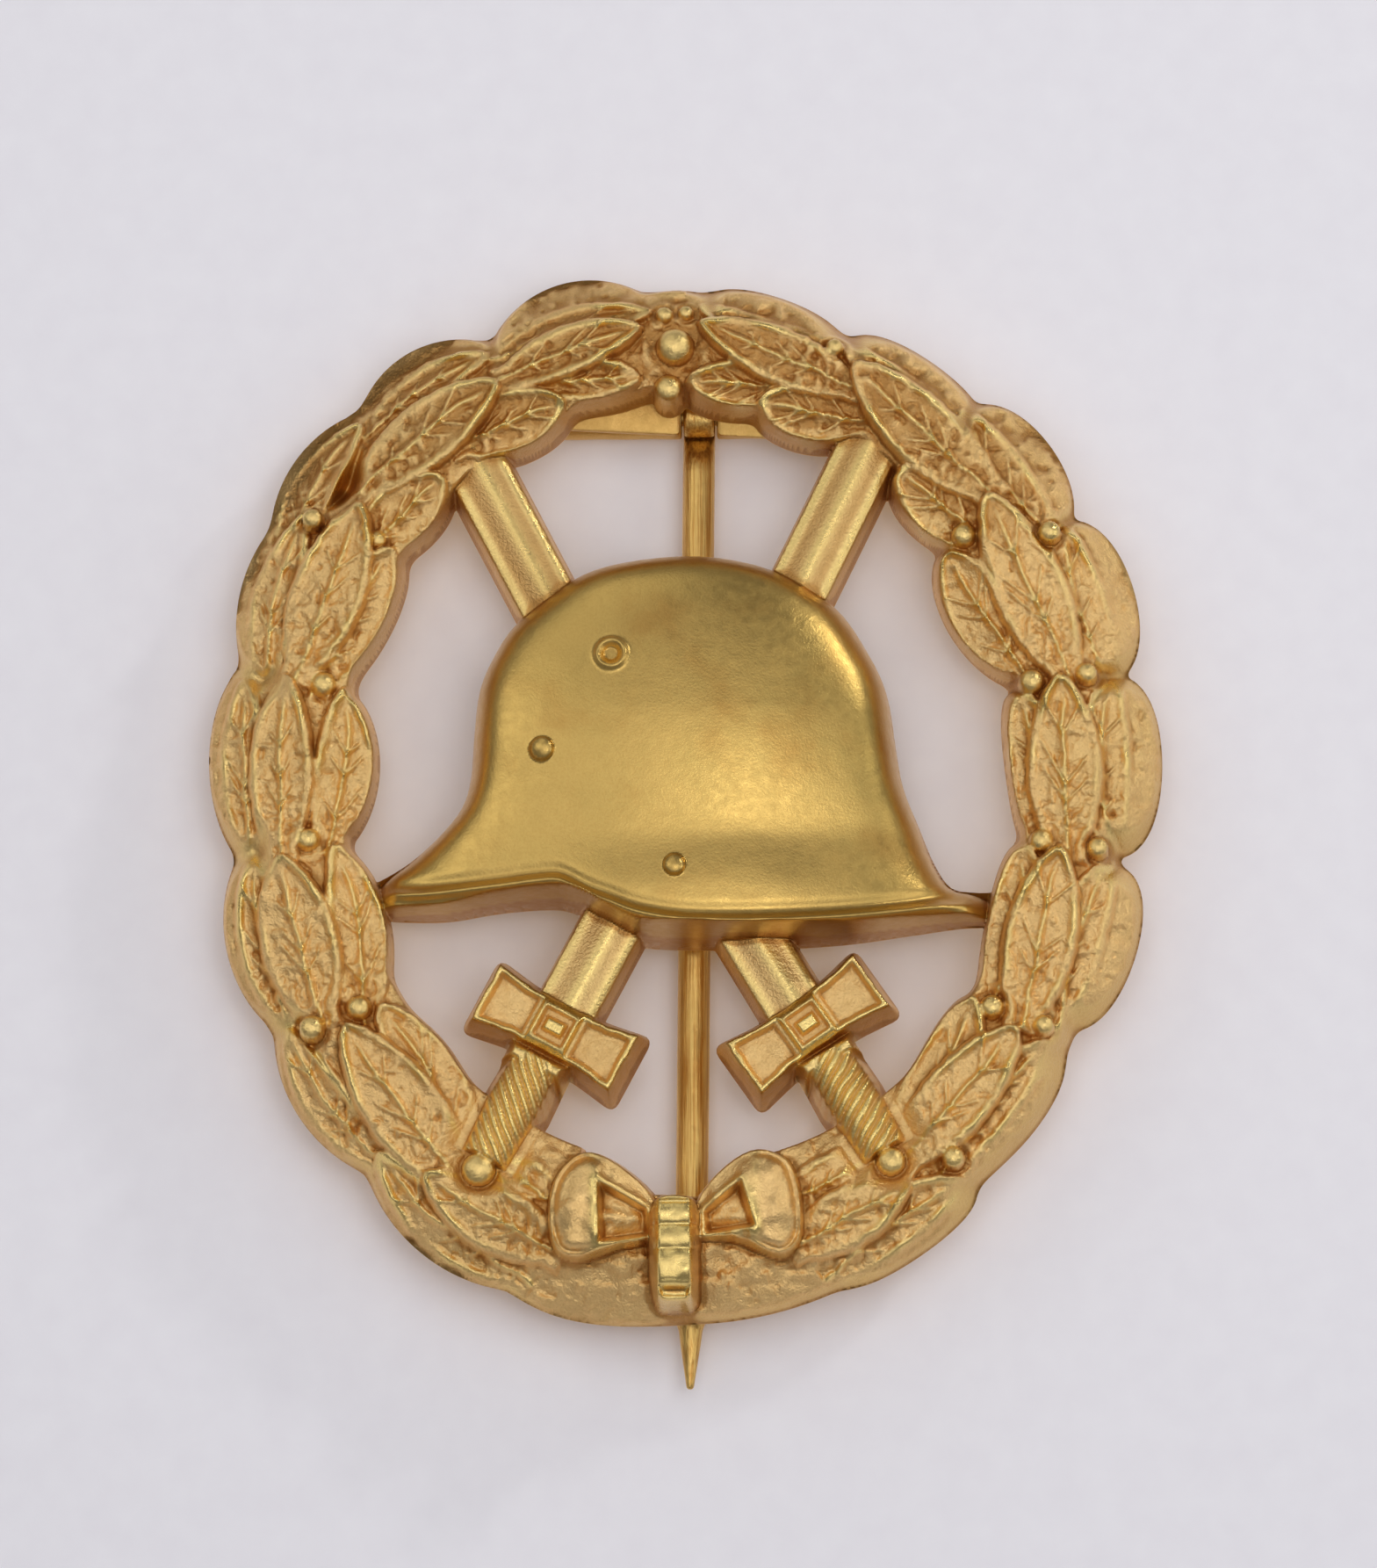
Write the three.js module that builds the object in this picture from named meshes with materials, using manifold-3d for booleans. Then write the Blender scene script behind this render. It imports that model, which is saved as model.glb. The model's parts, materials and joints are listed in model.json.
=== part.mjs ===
// A pierced breast badge: a steel helmet over two crossed swords in a laurel wreath tied with a bow.
// It is struck from thin sheet, so it is hollow behind. A needle hinges behind the crown of the
// wreath and closes into a hook behind the bow.
//
// Millimetres. The badge is drawn face on: x to the right, y up, z out of the face, and z = 0 on
// the rim that lies against the cloth. The last group stands it up, with its face towards -Y.
import * as THREE from 'three';
import { ParametricGeometry } from 'three/addons/geometries/ParametricGeometry.js';
import { mergeVertices } from 'three/addons/utils/BufferGeometryUtils.js';
import Module from 'manifold-3d';

const wasm = await Module();
wasm.setup();

const { degToRad, lerp } = THREE.MathUtils;
const vec2 = (x, y) => new THREE.Vector2(x, y);

// ---------------------------------------------------------------- driving dimensions

const sheet = 0.7; // thickness of the struck sheet
const gap = 0.05; // clearance between neighbouring pieces
const below = -1; // cutting shapes start this far behind the rim
const above = 8; // and end this far in front of it
const reach = 60; // further from the middle than any part of the badge

const wreath = {
  inner: vec2(14.0, 16.2), // half axes of the bed's inner edge
  innerCentre: vec2(0, 0.8), // the opening sits above the middle, so the bed is deepest at the foot
  outer: vec2(19.3, 22.2), // half axes of the bed's outer edge
  // Section across the bed, from its inner to its outer edge, as [share of the width, height].
  face: [[0, 0], [0.02, 1.9], [0.15, 2.6], [0.45, 2.9], [0.75, 2.3], [0.93, 1.0], [1, 0]],
  hollow: [
    [0.13, below], [0.14, 1.3], [0.24, 1.9], [0.45, 2.15],
    [0.68, 1.6], [0.84, 0.5], [0.87, below],
  ],
  step: 8, // degrees between sections
  crownFrom: -4.2, // the crown berries stand between these turns from the top
  crownTo: 3.4,
  foot: 179.8,
  seam: 0.2, // turn left free between the crown berries and a branch
};

const leaves = {
  tips: [7, 28, 52, 76, 99, 122, 145], // turn of each cluster's tips from the crown, in degrees
  length: 25, // turn that a leaf covers
  // The three leaves of a cluster: where they start and end across the bed, and their half width.
  rows: [
    { base: 0.36, tip: 0.12, half: 1.3, back: 2 }, // inner
    { base: 0.64, tip: 0.95, half: 1.8, back: 4 }, // outer
    { base: 0.48, tip: 0.54, half: 1.5, back: 0 }, // middle
  ],
  edgeLift: 0.05,
  tipLift: 0.5,
  ridge: 0.3,
};

// A branch has a pair of berries at each leaf tip, near the bed's inner and outer edges.
const berry = { radius: 0.45, inner: 0.27, outer: 0.79, lift: 0.3 };
const crownBerries = [
  { x: -0.5, y: 19.0, z: 2.65, radius: 0.75 },
  { x: -0.7, y: 17.35, z: 2.6, radius: 0.5 },
  { x: -0.7, y: 20.5, z: 1.9, radius: 0.38 },
];

const helmet = {
  centre: vec2(0, 1.8),
  // Outline, anticlockwise from the left tip: the lower edge, the right side, the dome, the left side.
  outline: [
    [-13.6, -4.15], [-12.4, -4.95], [-10, -5.2], [-7.8, -4.95], [-5.6, -4.75], [-4.4, -5.0],
    [-3.2, -5.8], [-1.9, -6.35], [0.7, -6.5], [3.2, -6.45], [6.6, -6.25], [9.2, -5.9],
    [11.4, -5.2], [12.9, -4.75], [10.6, -3.1], [9.75, -1.3], [9.1, 0.4], [8.8, 2.1],
    [8.45, 4.3], [7.7, 6.0], [6.2, 8.0], [3.7, 9.55], [0.6, 10.2], [-2.7, 9.9],
    [-4.9, 9.2], [-7.2, 7.4], [-8.25, 5.8], [-8.75, 4.4], [-8.95, 2.7], [-9.1, 0.7],
    [-9.5, -0.5], [-10.4, -1.6], [-11.6, -2.8],
  ],
  outlinePoints: 38,
  steps: [
    [1, 0], [0.985, 1.4], [0.955, 2.6], [0.9, 3.35],
    [0.78, 3.95], [0.55, 4.45], [0.3, 4.75], [0.12, 4.85],
  ],
  crown: vec2(9.4, 8.6), // half axes of the oval that the dome's outline turns into towards its top
  rivets: [vec2(-5.9, 1.5), vec2(-0.4, -3.5)],
  rivetRadius: 0.5,
  rivetHeight: 4.2,
  lug: vec2(-3.05, 5.3), // ring that stands for the helmet's vent lug
  lugRadius: 0.58,
  lugWire: 0.2,
  lugHeight: 4.5,
};

const blade = {
  faceHalf: 1.15,
  rimHalf: 1.5,
  faceHeight: 1.9,
  ridgeHeight: 2.25,
  hollowHalf: 0.62,
  hollowFlare: 0.15, // the hollow is this much wider at its mouth
  hollowHeight: 1.25,
};

// The upper part of each sword, from the helmet out to the wreath.
const upperBlades = [
  { name: 'blade_upper_left', root: vec2(-5.0, 6.6), lean: 27.5 },
  { name: 'blade_upper_right', root: vec2(4.0, 7.1), lean: -26 },
];
const upperBladeLength = 12;

const hilt = {
  armHalf: 3.65, // half length of the guard
  armEnd: 1.78, // half width of the guard at its ends
  neck: 1.6, // half width of the guard next to the blade
  neckAt: 1.55,
  wall: 0.42, // the guard's side walls lean in by this much
  height: 2.35,
  boss: 0.75, // half side of the square boss
  bossHeight: 2.6,
  bossDepth: 1,
  gripHalf: 1.5,
  gripStart: -1.5,
  gripEnd: -6.0,
  gripHeight: 2.2,
  gripTurns: 6,
  gripSlant: 0.3, // the wire climbs by this much from the middle to each side
  gripRib: 0.1,
  gripRoom: 1.6, // half width of the room that the grip needs in the wreath
  pommelAt: -6.6,
  pommelRadius: 0.85,
  pommelHeight: 1.5,
  bladeTo: 6, // the lower blade runs up into the helmet's place and is cut there
};
const hilts = [
  { name: 'hilt_lower_left', centre: vec2(-5.45, -10.1), lean: -28 },
  { name: 'hilt_lower_right', centre: vec2(5.07, -10.0), lean: 34 },
];

const bow = {
  leftLoop: [
    [-1.2, -17.05], [-1.2, -19.25], [-2.6, -19.75], [-4.6, -19.85], [-5.55, -19.35],
    [-5.75, -17.65], [-5.4, -16.05], [-4.0, -15.15], [-2.6, -15.65],
  ],
  rightLoop: [
    [0.5, -17.05], [1.8, -15.75], [3.1, -15.15], [4.5, -15.75], [4.85, -17.45],
    [4.55, -19.25], [3.3, -19.75], [1.6, -19.45], [0.5, -18.95],
  ],
  knot: [
    [-1.6, -17.35], [-1.65, -19.75], [-1.4, -21.35], [-0.45, -21.75], [0.6, -21.35],
    [0.75, -19.75], [0.7, -17.35], [-0.45, -16.85],
  ],
  // The bed is cut away between the loops, above the knot.
  bay: [
    [-4.0, -13.35], [-4.0, -15.1], [-2.6, -15.6], [-1.2, -17], [-0.45, -16.8],
    [0.5, -17], [1.8, -15.7], [3.1, -15.1], [3.1, -13.35],
  ],
  points: 15,
  loopSteps: [[1, 0], [0.96, 2.2], [0.82, 3.0], [0.5, 3.4], [0.2, 3.5]],
  knotSteps: [[1, 0], [0.96, 2.8], [0.8, 3.6], [0.45, 3.85], [0.2, 3.9]],
  // The folds inside the loops, as shallow pockets.
  pockets: [
    [[-3.4, -16.65], [-3.6, -18.95], [-1.9, -18.45], [-1.9, -17.35]],
    [[2.3, -16.55], [1.0, -17.35], [1.0, -18.35], [2.6, -18.45]],
  ],
  pocketFloor: 3.05,
};

// The pin fittings behind the badge.
const plateBack = -0.45;
const plateFront = -gap;
const hinge = { x: 0.5, y: 16.75, z: -1.42, barrel: 0.92, bore: 0.4, axle: 0.36 };
// The plate's lower edge slants a little, and its two upper corners are cut off.
const hingePlate = {
  left: -5.7, right: 6.3, top: 21.6, bottomLeft: 16.0, bottomRight: 15.4,
  cornerIn: 1, cornerDown: 0.7, cornerAlong: 2.4,
};
const barrels = [
  { name: 'hinge_barrel_left', from: -5.5, to: -0.26 },
  { name: 'hinge_barrel_right', from: 1.26, to: 6.1 },
];
const needleSlot = { from: -0.3, to: 1.3, top: 17.7 };
const axleEnds = [-5.4, 6.0];
const needle = {
  radius: 0.68, eyeWidth: 1.36, length: 41.55, shankFrom: 0.45,
  taper: 2.9, shoulder: 0.48, shoulderLength: 0.35, point: 0.14, pointRound: 0.06,
  lean: -0.55, // degrees that the shank leans to the left on its way down
};
const catchPlate = { centre: vec2(0.1, -19.45), halfWidth: 2.6, halfHeight: 2.5, corner: 0.9 };
const hook = { x: 0.16, y: -18.6, halfWidth: 0.9, inside: 0.8, outside: 1.22, from: 180, to: 335 };

// ---------------------------------------------------------------- materials

const metal = (color, roughness) => new THREE.MeshStandardMaterial({ color, roughness, metalness: 1 });
const gilt = metal(0xc9a24c, 0.42);
const burnished = metal(0xc4a550, 0.28);
const wire = metal(0xb98c3e, 0.3);
const soldered = metal(0xa98244, 0.5);

// ---------------------------------------------------------------- solids

// A geometry as a manifold-3d solid, with its faces turned outwards.
function solid(geometry) {
  const bare = geometry.clone();
  bare.deleteAttribute('normal');
  bare.deleteAttribute('uv');
  const merged = mergeVertices(bare, 1e-4);
  const corners = [...merged.index.array];
  const triangles = [];
  for (let i = 0; i < corners.length; i += 3) {
    const [a, b, c] = corners.slice(i, i + 3);
    if (a !== b && b !== c && c !== a) triangles.push([a, b, c]);
  }
  const made = (faces) => new wasm.Manifold(new wasm.Mesh({
    numProp: 3,
    vertProperties: merged.attributes.position.array,
    triVerts: new Uint32Array(faces.flat()),
  }));
  const first = made(triangles);
  return first.volume() > 0 ? first : made(triangles.map(([a, b, c]) => [a, c, b]));
}

const joined = (solids) => solids.reduce((whole, next) => whole.add(next));

// The largest body of a solid, without the crumbs that a cut can leave.
const largest = (made) => made.decompose().reduce((a, b) => (a.volume() > b.volume() ? a : b));

function mesh(name, made, material) {
  const { vertProperties, triVerts } = largest(made).getMesh();
  const geometry = new THREE.BufferGeometry();
  geometry.setAttribute('position', new THREE.BufferAttribute(vertProperties, 3));
  geometry.setIndex(new THREE.BufferAttribute(triVerts, 1));
  geometry.computeVertexNormals();
  const piece = new THREE.Mesh(geometry, material);
  piece.name = name;
  return piece;
}

// A closed skin over a row of rings of points. Each end closes on the middle of its ring.
function loft(rings) {
  const middle = (ring) => ring.reduce((sum, p) => sum.add(p), new THREE.Vector3()).divideScalar(ring.length);
  const closed = (ring) => ring.map(() => middle(ring));
  const rows = [closed(rings[0]), ...rings, closed(rings.at(-1))];
  const sides = rings[0].length;
  return new ParametricGeometry((u, v, target) => {
    const row = rows[Math.round(v * (rows.length - 1))];
    target.copy(row[Math.round(u * sides) % sides]);
  }, sides, rows.length - 1);
}

// A closed, rounded, anticlockwise outline through the given points.
function rounded(points, count) {
  const curve = new THREE.CatmullRomCurve3(points.map(([x, y]) => new THREE.Vector3(x, y, 0)), true);
  const outline = curve.getSpacedPoints(count).slice(0, count).map((p) => vec2(p.x, p.y));
  return THREE.ShapeUtils.isClockWise(outline) ? outline.reverse() : outline;
}

// An anticlockwise outline moved outwards by the given distance.
function grown(outline, by) {
  const outward = (from, to) => vec2(to.y - from.y, from.x - to.x).normalize();
  return outline.map((p, i) => {
    const before = outward(outline.at(i - 1), p);
    const after = outward(p, outline[(i + 1) % outline.length]);
    const along = before.clone().add(after);
    return along.multiplyScalar(by / (1 + before.dot(after))).add(p);
  });
}

const block = (outline, from, to) =>
  solid(new THREE.ExtrudeGeometry(new THREE.Shape(outline), { depth: to - from, bevelEnabled: false })
    .translate(0, 0, from));

const cutter = (outline) => block(grown(outline, gap), below, above);

// A domed solid: the outline drawn in towards its centre step by step as [share left, height].
// With an oval, the outline turns into that oval as it nears the centre.
function dome({ outline, centre, steps, oval }) {
  const drawnIn = (p, share) => {
    const arm = p.clone().sub(centre);
    if (oval) {
      const round = arm.length() / Math.hypot(arm.x / oval.x, arm.y / oval.y);
      arm.setLength(lerp(round, arm.length(), share ** 4));
    }
    return arm.multiplyScalar(share).add(centre);
  };
  return solid(loft(steps.map(([share, height]) => outline.map((p) => {
    const at = drawnIn(p, share);
    return new THREE.Vector3(at.x, at.y, height);
  }))));
}

// The space behind a dome, one sheet thickness inside it.
function domeHollow({ outline, centre, steps, oval }) {
  const raised = steps.slice(1).filter(([, height]) => height > sheet);
  return dome({
    outline: grown(outline, -sheet),
    centre,
    steps: [[1, below], ...raised.map(([share, height]) => [share, height - sheet])],
    oval: oval && oval.clone().subScalar(sheet),
  });
}

const domeShell = (shape) => dome(shape).subtract(domeHollow(shape));

// A dome with everything behind it, a little larger all round, to cut its neighbours.
const domeCutter = ({ outline, centre, steps, oval }) => dome({
  outline: grown(outline, gap),
  centre,
  steps: [[1, below], ...steps.map(([share, height]) => [share, height + gap])],
  oval,
});

const centreOf = (outline) =>
  outline.reduce((sum, p) => sum.add(p), vec2(0, 0)).divideScalar(outline.length);

// A bar along y with the given section in x and z, from y = from to y = to.
function bar(section, from, to) {
  return new THREE.ExtrudeGeometry(new THREE.Shape(section), { depth: to - from, bevelEnabled: false })
    .rotateX(Math.PI / 2)
    .translate(0, to, 0);
}

function ball(x, y, z, radius) {
  return solid(new THREE.SphereGeometry(radius, 8, 6).rotateX(Math.PI / 2).translate(x, y, z));
}

// ---------------------------------------------------------------- laurel wreath

// A point on the bed: side is -1 or 1, turn is in degrees from the crown, across is 0 to 1.
function bedPoint(side, turn, across) {
  const angle = degToRad(turn);
  const half = wreath.inner.clone().lerp(wreath.outer, across);
  const middle = wreath.innerCentre.y * (1 - across);
  return vec2(side * half.x * Math.sin(angle), middle + half.y * Math.cos(angle));
}

function bedHeight(across) {
  const { face } = wreath;
  const i = Math.max(1, face.findIndex(([share]) => share >= across));
  const [from, low] = face[i - 1];
  const [to, high] = face[i];
  return lerp(low, high, (across - from) / (to - from));
}

function bed(side, from, to, section) {
  const count = Math.ceil((to - from) / wreath.step);
  const rings = Array.from({ length: count + 1 }, (_, i) => section.map(([across, height]) => {
    const at = bedPoint(side, lerp(from, to, i / count), across);
    return new THREE.Vector3(at.x, at.y, height);
  }));
  return solid(loft(rings));
}

// One leaf: a pointed oval along the bed with a raised midrib, highest at its tip.
function leaf(side, tipTurn, row) {
  const stations = 5;
  const turnAt = (s) => tipTurn + row.back + leaves.length * (1 - s);
  const centreAt = (s) => bedPoint(side, turnAt(s), lerp(row.base, row.tip, s));
  const rings = Array.from({ length: stations + 1 }, (_, i) => {
    const s = i / stations;
    const centre = centreAt(s);
    const along = centreAt(s + 0.01).sub(centreAt(s - 0.01)).normalize();
    const half = Math.max(0.05, row.half * Math.sin(Math.PI * s ** 0.85) ** 0.8);
    const edge = bedHeight(lerp(row.base, row.tip, s)) + leaves.edgeLift + leaves.tipLift * s;
    const at = (share, height) =>
      new THREE.Vector3(centre.x - along.y * half * share, centre.y + along.x * half * share, height);
    return [at(-1, 0), at(-0.85, edge), at(0, edge + leaves.ridge), at(0.85, edge), at(1, 0)];
  });
  return solid(loft(rings));
}

function branch(side, from) {
  const clusters = leaves.tips.flatMap((tip) => leaves.rows.map((row) => leaf(side, tip, row)));
  const berries = leaves.tips.slice(1).flatMap((tip) => [berry.inner, berry.outer].map((across) => {
    const at = bedPoint(side, tip, across);
    return ball(at.x, at.y, bedHeight(across) + berry.lift, berry.radius);
  }));
  return joined([bed(side, from, wreath.foot, wreath.face), ...clusters, ...berries])
    .subtract(bed(side, from - 2, wreath.foot + 2, wreath.hollow));
}

// Everything on one side of the bed between two turns, as a cutting shape.
function sector(side, from, to) {
  const count = Math.ceil((to - from) / 20);
  const rim = Array.from({ length: count + 1 }, (_, i) => {
    const angle = degToRad(lerp(from, to, i / count));
    return vec2(side * reach * Math.sin(angle), reach * Math.cos(angle));
  });
  const outline = [vec2(0, 0), ...rim];
  return block(side > 0 ? outline.reverse() : outline, below - 1, above);
}

function crownPiece() {
  const web = bed(1, wreath.crownFrom, wreath.crownTo, wreath.face)
    .subtract(bed(1, wreath.crownFrom - 2, wreath.crownTo + 2, wreath.hollow));
  return joined([web, ...crownBerries.map(({ x, y, z, radius }) => ball(x, y, z, radius))]);
}

// The opening inside the bed, drawn in by the given distance, as a cutting shape.
function opening(by) {
  const { inner, innerCentre } = wreath;
  const oval = new THREE.Shape().absellipse(
    innerCentre.x, innerCentre.y, inner.x - by, inner.y - by, 0, 2 * Math.PI,
  );
  return block(oval.getPoints(40).slice(1), below - 1, above);
}

// ---------------------------------------------------------------- helmet

const helmetDome = {
  outline: rounded(helmet.outline, helmet.outlinePoints),
  centre: helmet.centre,
  steps: helmet.steps,
  oval: helmet.crown,
};

function helmetPiece() {
  const rivets = helmet.rivets.map(({ x, y }) => ball(x, y, helmet.rivetHeight, helmet.rivetRadius));
  const lug = solid(new THREE.TorusGeometry(helmet.lugRadius, helmet.lugWire, 6, 12)
    .translate(helmet.lug.x, helmet.lug.y, helmet.lugHeight));
  return joined([domeShell(helmetDome), ...rivets, lug]);
}

// ---------------------------------------------------------------- swords

const bladeSection = [
  vec2(-blade.rimHalf, 0), vec2(blade.rimHalf, 0), vec2(blade.faceHalf, blade.faceHeight),
  vec2(0, blade.ridgeHeight), vec2(-blade.faceHalf, blade.faceHeight),
];
const bladeHollow = [
  vec2(-blade.hollowHalf - blade.hollowFlare, below), vec2(blade.hollowHalf + blade.hollowFlare, below),
  vec2(blade.hollowHalf, blade.hollowHeight), vec2(-blade.hollowHalf, blade.hollowHeight),
];

const turned = (geometry, lean, at) => geometry.rotateZ(degToRad(lean)).translate(at.x, at.y, 0);
const turnedOutline = (outline, lean, at) =>
  outline.map((p) => p.clone().rotateAround(vec2(0, 0), degToRad(lean)).add(at));

function upperBlade({ root, lean }) {
  const whole = solid(turned(bar(bladeSection, 0, upperBladeLength), lean, root));
  const hollow = solid(turned(bar(bladeHollow, -1, upperBladeLength + 1), lean, root));
  return whole.subtract(hollow).intersect(opening(gap)).subtract(domeCutter(helmetDome));
}

const upperBladeOutline = ({ root, lean }) => turnedOutline([
  vec2(-blade.rimHalf, 0), vec2(blade.rimHalf, 0),
  vec2(blade.rimHalf, upperBladeLength), vec2(-blade.rimHalf, upperBladeLength),
], lean, root);

const guardOutline = [
  vec2(-hilt.armHalf, -hilt.armEnd), vec2(-hilt.neck, -hilt.neckAt), vec2(hilt.neck, -hilt.neckAt),
  vec2(hilt.armHalf, -hilt.armEnd), vec2(hilt.armHalf, hilt.armEnd), vec2(hilt.neck, hilt.neckAt),
  vec2(-hilt.neck, hilt.neckAt), vec2(-hilt.armHalf, hilt.armEnd),
];

// A half round of the given half width and height about y = 0, slanted as a twisted wire is.
function gripRing(y, half, height, base) {
  const round = 0.96; // a full half round would end in a knife edge
  return [-1, -0.8, -0.3, 0.3, 0.8, 1].map((share) => new THREE.Vector3(
    share * half,
    y + share * hilt.gripSlant,
    base + (height - base) * Math.sqrt(1 - (round * share) ** 2),
  ));
}

function grip(half, height, from, to, base, rib) {
  const count = hilt.gripTurns * 2;
  const rings = Array.from({ length: count + 1 }, (_, i) => {
    const swell = i % 2 ? rib : 0;
    const arch = gripRing(lerp(from, to, i / count), half + swell, height + swell, base);
    const feet = [arch.at(-1), arch[0]].map((p) => new THREE.Vector3(p.x, p.y, base));
    return [...arch.slice(1, -1), ...feet];
  });
  return loft(rings);
}

function hiltOutline({ centre, lean }) {
  const pommelTurns = [200, 235, 270, 305, 340].map(degToRad);
  const pommel = pommelTurns.map((a) => vec2(
    hilt.pommelRadius * Math.cos(a),
    hilt.pommelAt + hilt.pommelRadius * Math.sin(a),
  ));
  return turnedOutline([
    ...pommel,
    vec2(hilt.gripRoom, hilt.gripEnd + 0.6), vec2(hilt.gripRoom, -hilt.neckAt),
    ...guardOutline.slice(3, 6),
    vec2(blade.rimHalf, hilt.bladeTo), vec2(-blade.rimHalf, hilt.bladeTo),
    ...guardOutline.slice(6), guardOutline[0],
    vec2(-hilt.gripRoom, -hilt.neckAt), vec2(-hilt.gripRoom, hilt.gripEnd + 0.6),
  ], lean, centre);
}

function hiltPiece({ centre, lean }) {
  const level = (outline, height) => outline.map(({ x, y }) => new THREE.Vector3(x, y, height));
  const place = (geometry) => solid(turned(geometry, lean, centre));
  const boss = new THREE.BoxGeometry(2 * hilt.boss, 2 * hilt.boss, hilt.bossDepth)
    .translate(0, 0, hilt.bossHeight - hilt.bossDepth / 2);
  const pommel = new THREE.SphereGeometry(hilt.pommelRadius, 12, 8).rotateX(Math.PI / 2)
    .translate(0, hilt.pommelAt, hilt.pommelHeight);
  const whole = joined([
    place(loft([level(guardOutline, 0), level(grown(guardOutline, -hilt.wall), hilt.height)])),
    place(boss),
    place(bar(bladeSection, 0, hilt.bladeTo)),
    place(grip(hilt.gripHalf, hilt.gripHeight, hilt.gripStart, hilt.gripEnd, 0, hilt.gripRib)),
    place(pommel),
  ]);
  const guardHollow = loft([
    level(grown(guardOutline, -sheet), below),
    level(grown(guardOutline, -sheet - 0.3), hilt.height - sheet),
  ]);
  const hollows = joined([
    place(guardHollow),
    place(bar(bladeHollow, 0, hilt.bladeTo + 1)),
    place(grip(hilt.gripHalf - sheet, hilt.gripHeight - sheet, hilt.gripStart, hilt.gripEnd + 0.4, below, 0)),
  ]);
  const everywhere = [vec2(-reach, -reach), vec2(reach, -reach), vec2(reach, reach), vec2(-reach, reach)];
  const front = block(everywhere, 0, above);
  return whole.intersect(front).subtract(hollows).subtract(domeCutter(helmetDome));
}

// ---------------------------------------------------------------- bow

const bowDomes = [
  [bow.leftLoop, bow.loopSteps], [bow.rightLoop, bow.loopSteps], [bow.knot, bow.knotSteps],
].map(([points, steps]) => {
  const outline = rounded(points, bow.points);
  return { outline, centre: centreOf(outline), steps };
});

function ribbonBow() {
  const domes = joined(bowDomes.map(dome));
  const hollows = joined(bowDomes.map(domeHollow));
  const pockets = joined(bow.pockets.map((points) =>
    block(points.map(([x, y]) => vec2(x, y)), bow.pocketFloor, above)));
  return domes.subtract(hollows).subtract(pockets);
}

// ---------------------------------------------------------------- pin fittings

function tube(outer, bore, from, to) {
  const shape = new THREE.Shape().absarc(0, 0, outer, 0, 2 * Math.PI);
  shape.holes.push(new THREE.Path().absarc(0, 0, bore, 0, 2 * Math.PI));
  return new THREE.ExtrudeGeometry(shape, { depth: to - from, bevelEnabled: false, curveSegments: 12 })
    .rotateY(Math.PI / 2)
    .translate(from, 0, 0);
}

function hingePlatePiece() {
  const { left, right, top, bottomLeft, bottomRight, cornerIn, cornerDown, cornerAlong } = hingePlate;
  const outline = [
    vec2(left, bottomLeft), vec2(needleSlot.from, bottomLeft),
    vec2(needleSlot.from, needleSlot.top), vec2(needleSlot.to, needleSlot.top),
    vec2(needleSlot.to, lerp(bottomLeft, bottomRight, 0.3)),
    vec2(right, bottomRight),
    vec2(right - cornerIn, top - cornerDown), vec2(right - cornerAlong, top),
    vec2(left + cornerAlong, top), vec2(left + cornerIn, top - cornerDown),
  ];
  return block(outline, plateBack, plateFront);
}

// The needle about its hinge: a rolled eye, a straight shank and a tapered point.
function needlePiece() {
  const { radius, eyeWidth, length, shankFrom, taper, shoulder, shoulderLength, point, pointRound } = needle;
  const eye = solid(tube(hinge.barrel, hinge.bore, -eyeWidth / 2, eyeWidth / 2));
  const profile = [
    [0, shankFrom], [radius, shankFrom], [radius, length - taper],
    [shoulder, length - taper + shoulderLength], [point, length - pointRound],
    [point / 2, length], [0, length],
  ].map(([across, down]) => vec2(across, -down)).reverse();
  const bore = new THREE.CylinderGeometry(hinge.bore, hinge.bore, 2 * eyeWidth, 24).rotateZ(Math.PI / 2);
  const shank = new THREE.LatheGeometry(profile, 16).rotateZ(degToRad(needle.lean));
  return eye.add(solid(shank)).subtract(solid(bore));
}

function catchPlatePiece() {
  const { centre, halfWidth, halfHeight, corner } = catchPlate;
  const shape = new THREE.Shape();
  const corners = [[1, 1], [-1, 1], [-1, -1], [1, -1]];
  corners.forEach(([right, up], i) => {
    const x = centre.x + right * (halfWidth - corner);
    const y = centre.y + up * (halfHeight - corner);
    shape.absarc(x, y, corner, i * Math.PI / 2, (i + 1) * Math.PI / 2);
  });
  return block(shape.getPoints(4).slice(1), plateBack, plateFront);
}

// A strip bent round the needle, open on one side so that the needle can spring in and out.
function hookPiece() {
  const turns = Array.from({ length: 13 }, (_, i) => degToRad(lerp(hook.from, hook.to, i / 12)));
  const arc = (radius) => turns.map((turn) => vec2(
    hook.x + radius * Math.cos(turn),
    hinge.z + radius * Math.sin(turn),
  ));
  const foot = plateBack - gap;
  const section = [
    vec2(hook.x - hook.inside, foot), ...arc(hook.inside),
    ...arc(hook.outside).reverse(), vec2(hook.x - hook.outside, foot),
  ];
  return solid(bar(section, hook.y - hook.halfWidth, hook.y + hook.halfWidth));
}

// ---------------------------------------------------------------- assembly

// The space that the branches leave for the pieces laid over or against them.
function wreathRoom() {
  return joined([
    domeCutter(helmetDome),
    ...bowDomes.map(domeCutter),
    block(bow.bay.map(([x, y]) => vec2(x, y)), below, above),
    ...upperBlades.map((sword) => cutter(upperBladeOutline(sword)).intersect(opening(0))),
    ...hilts.map((sword) => cutter(hiltOutline(sword))),
  ]);
}

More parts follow.
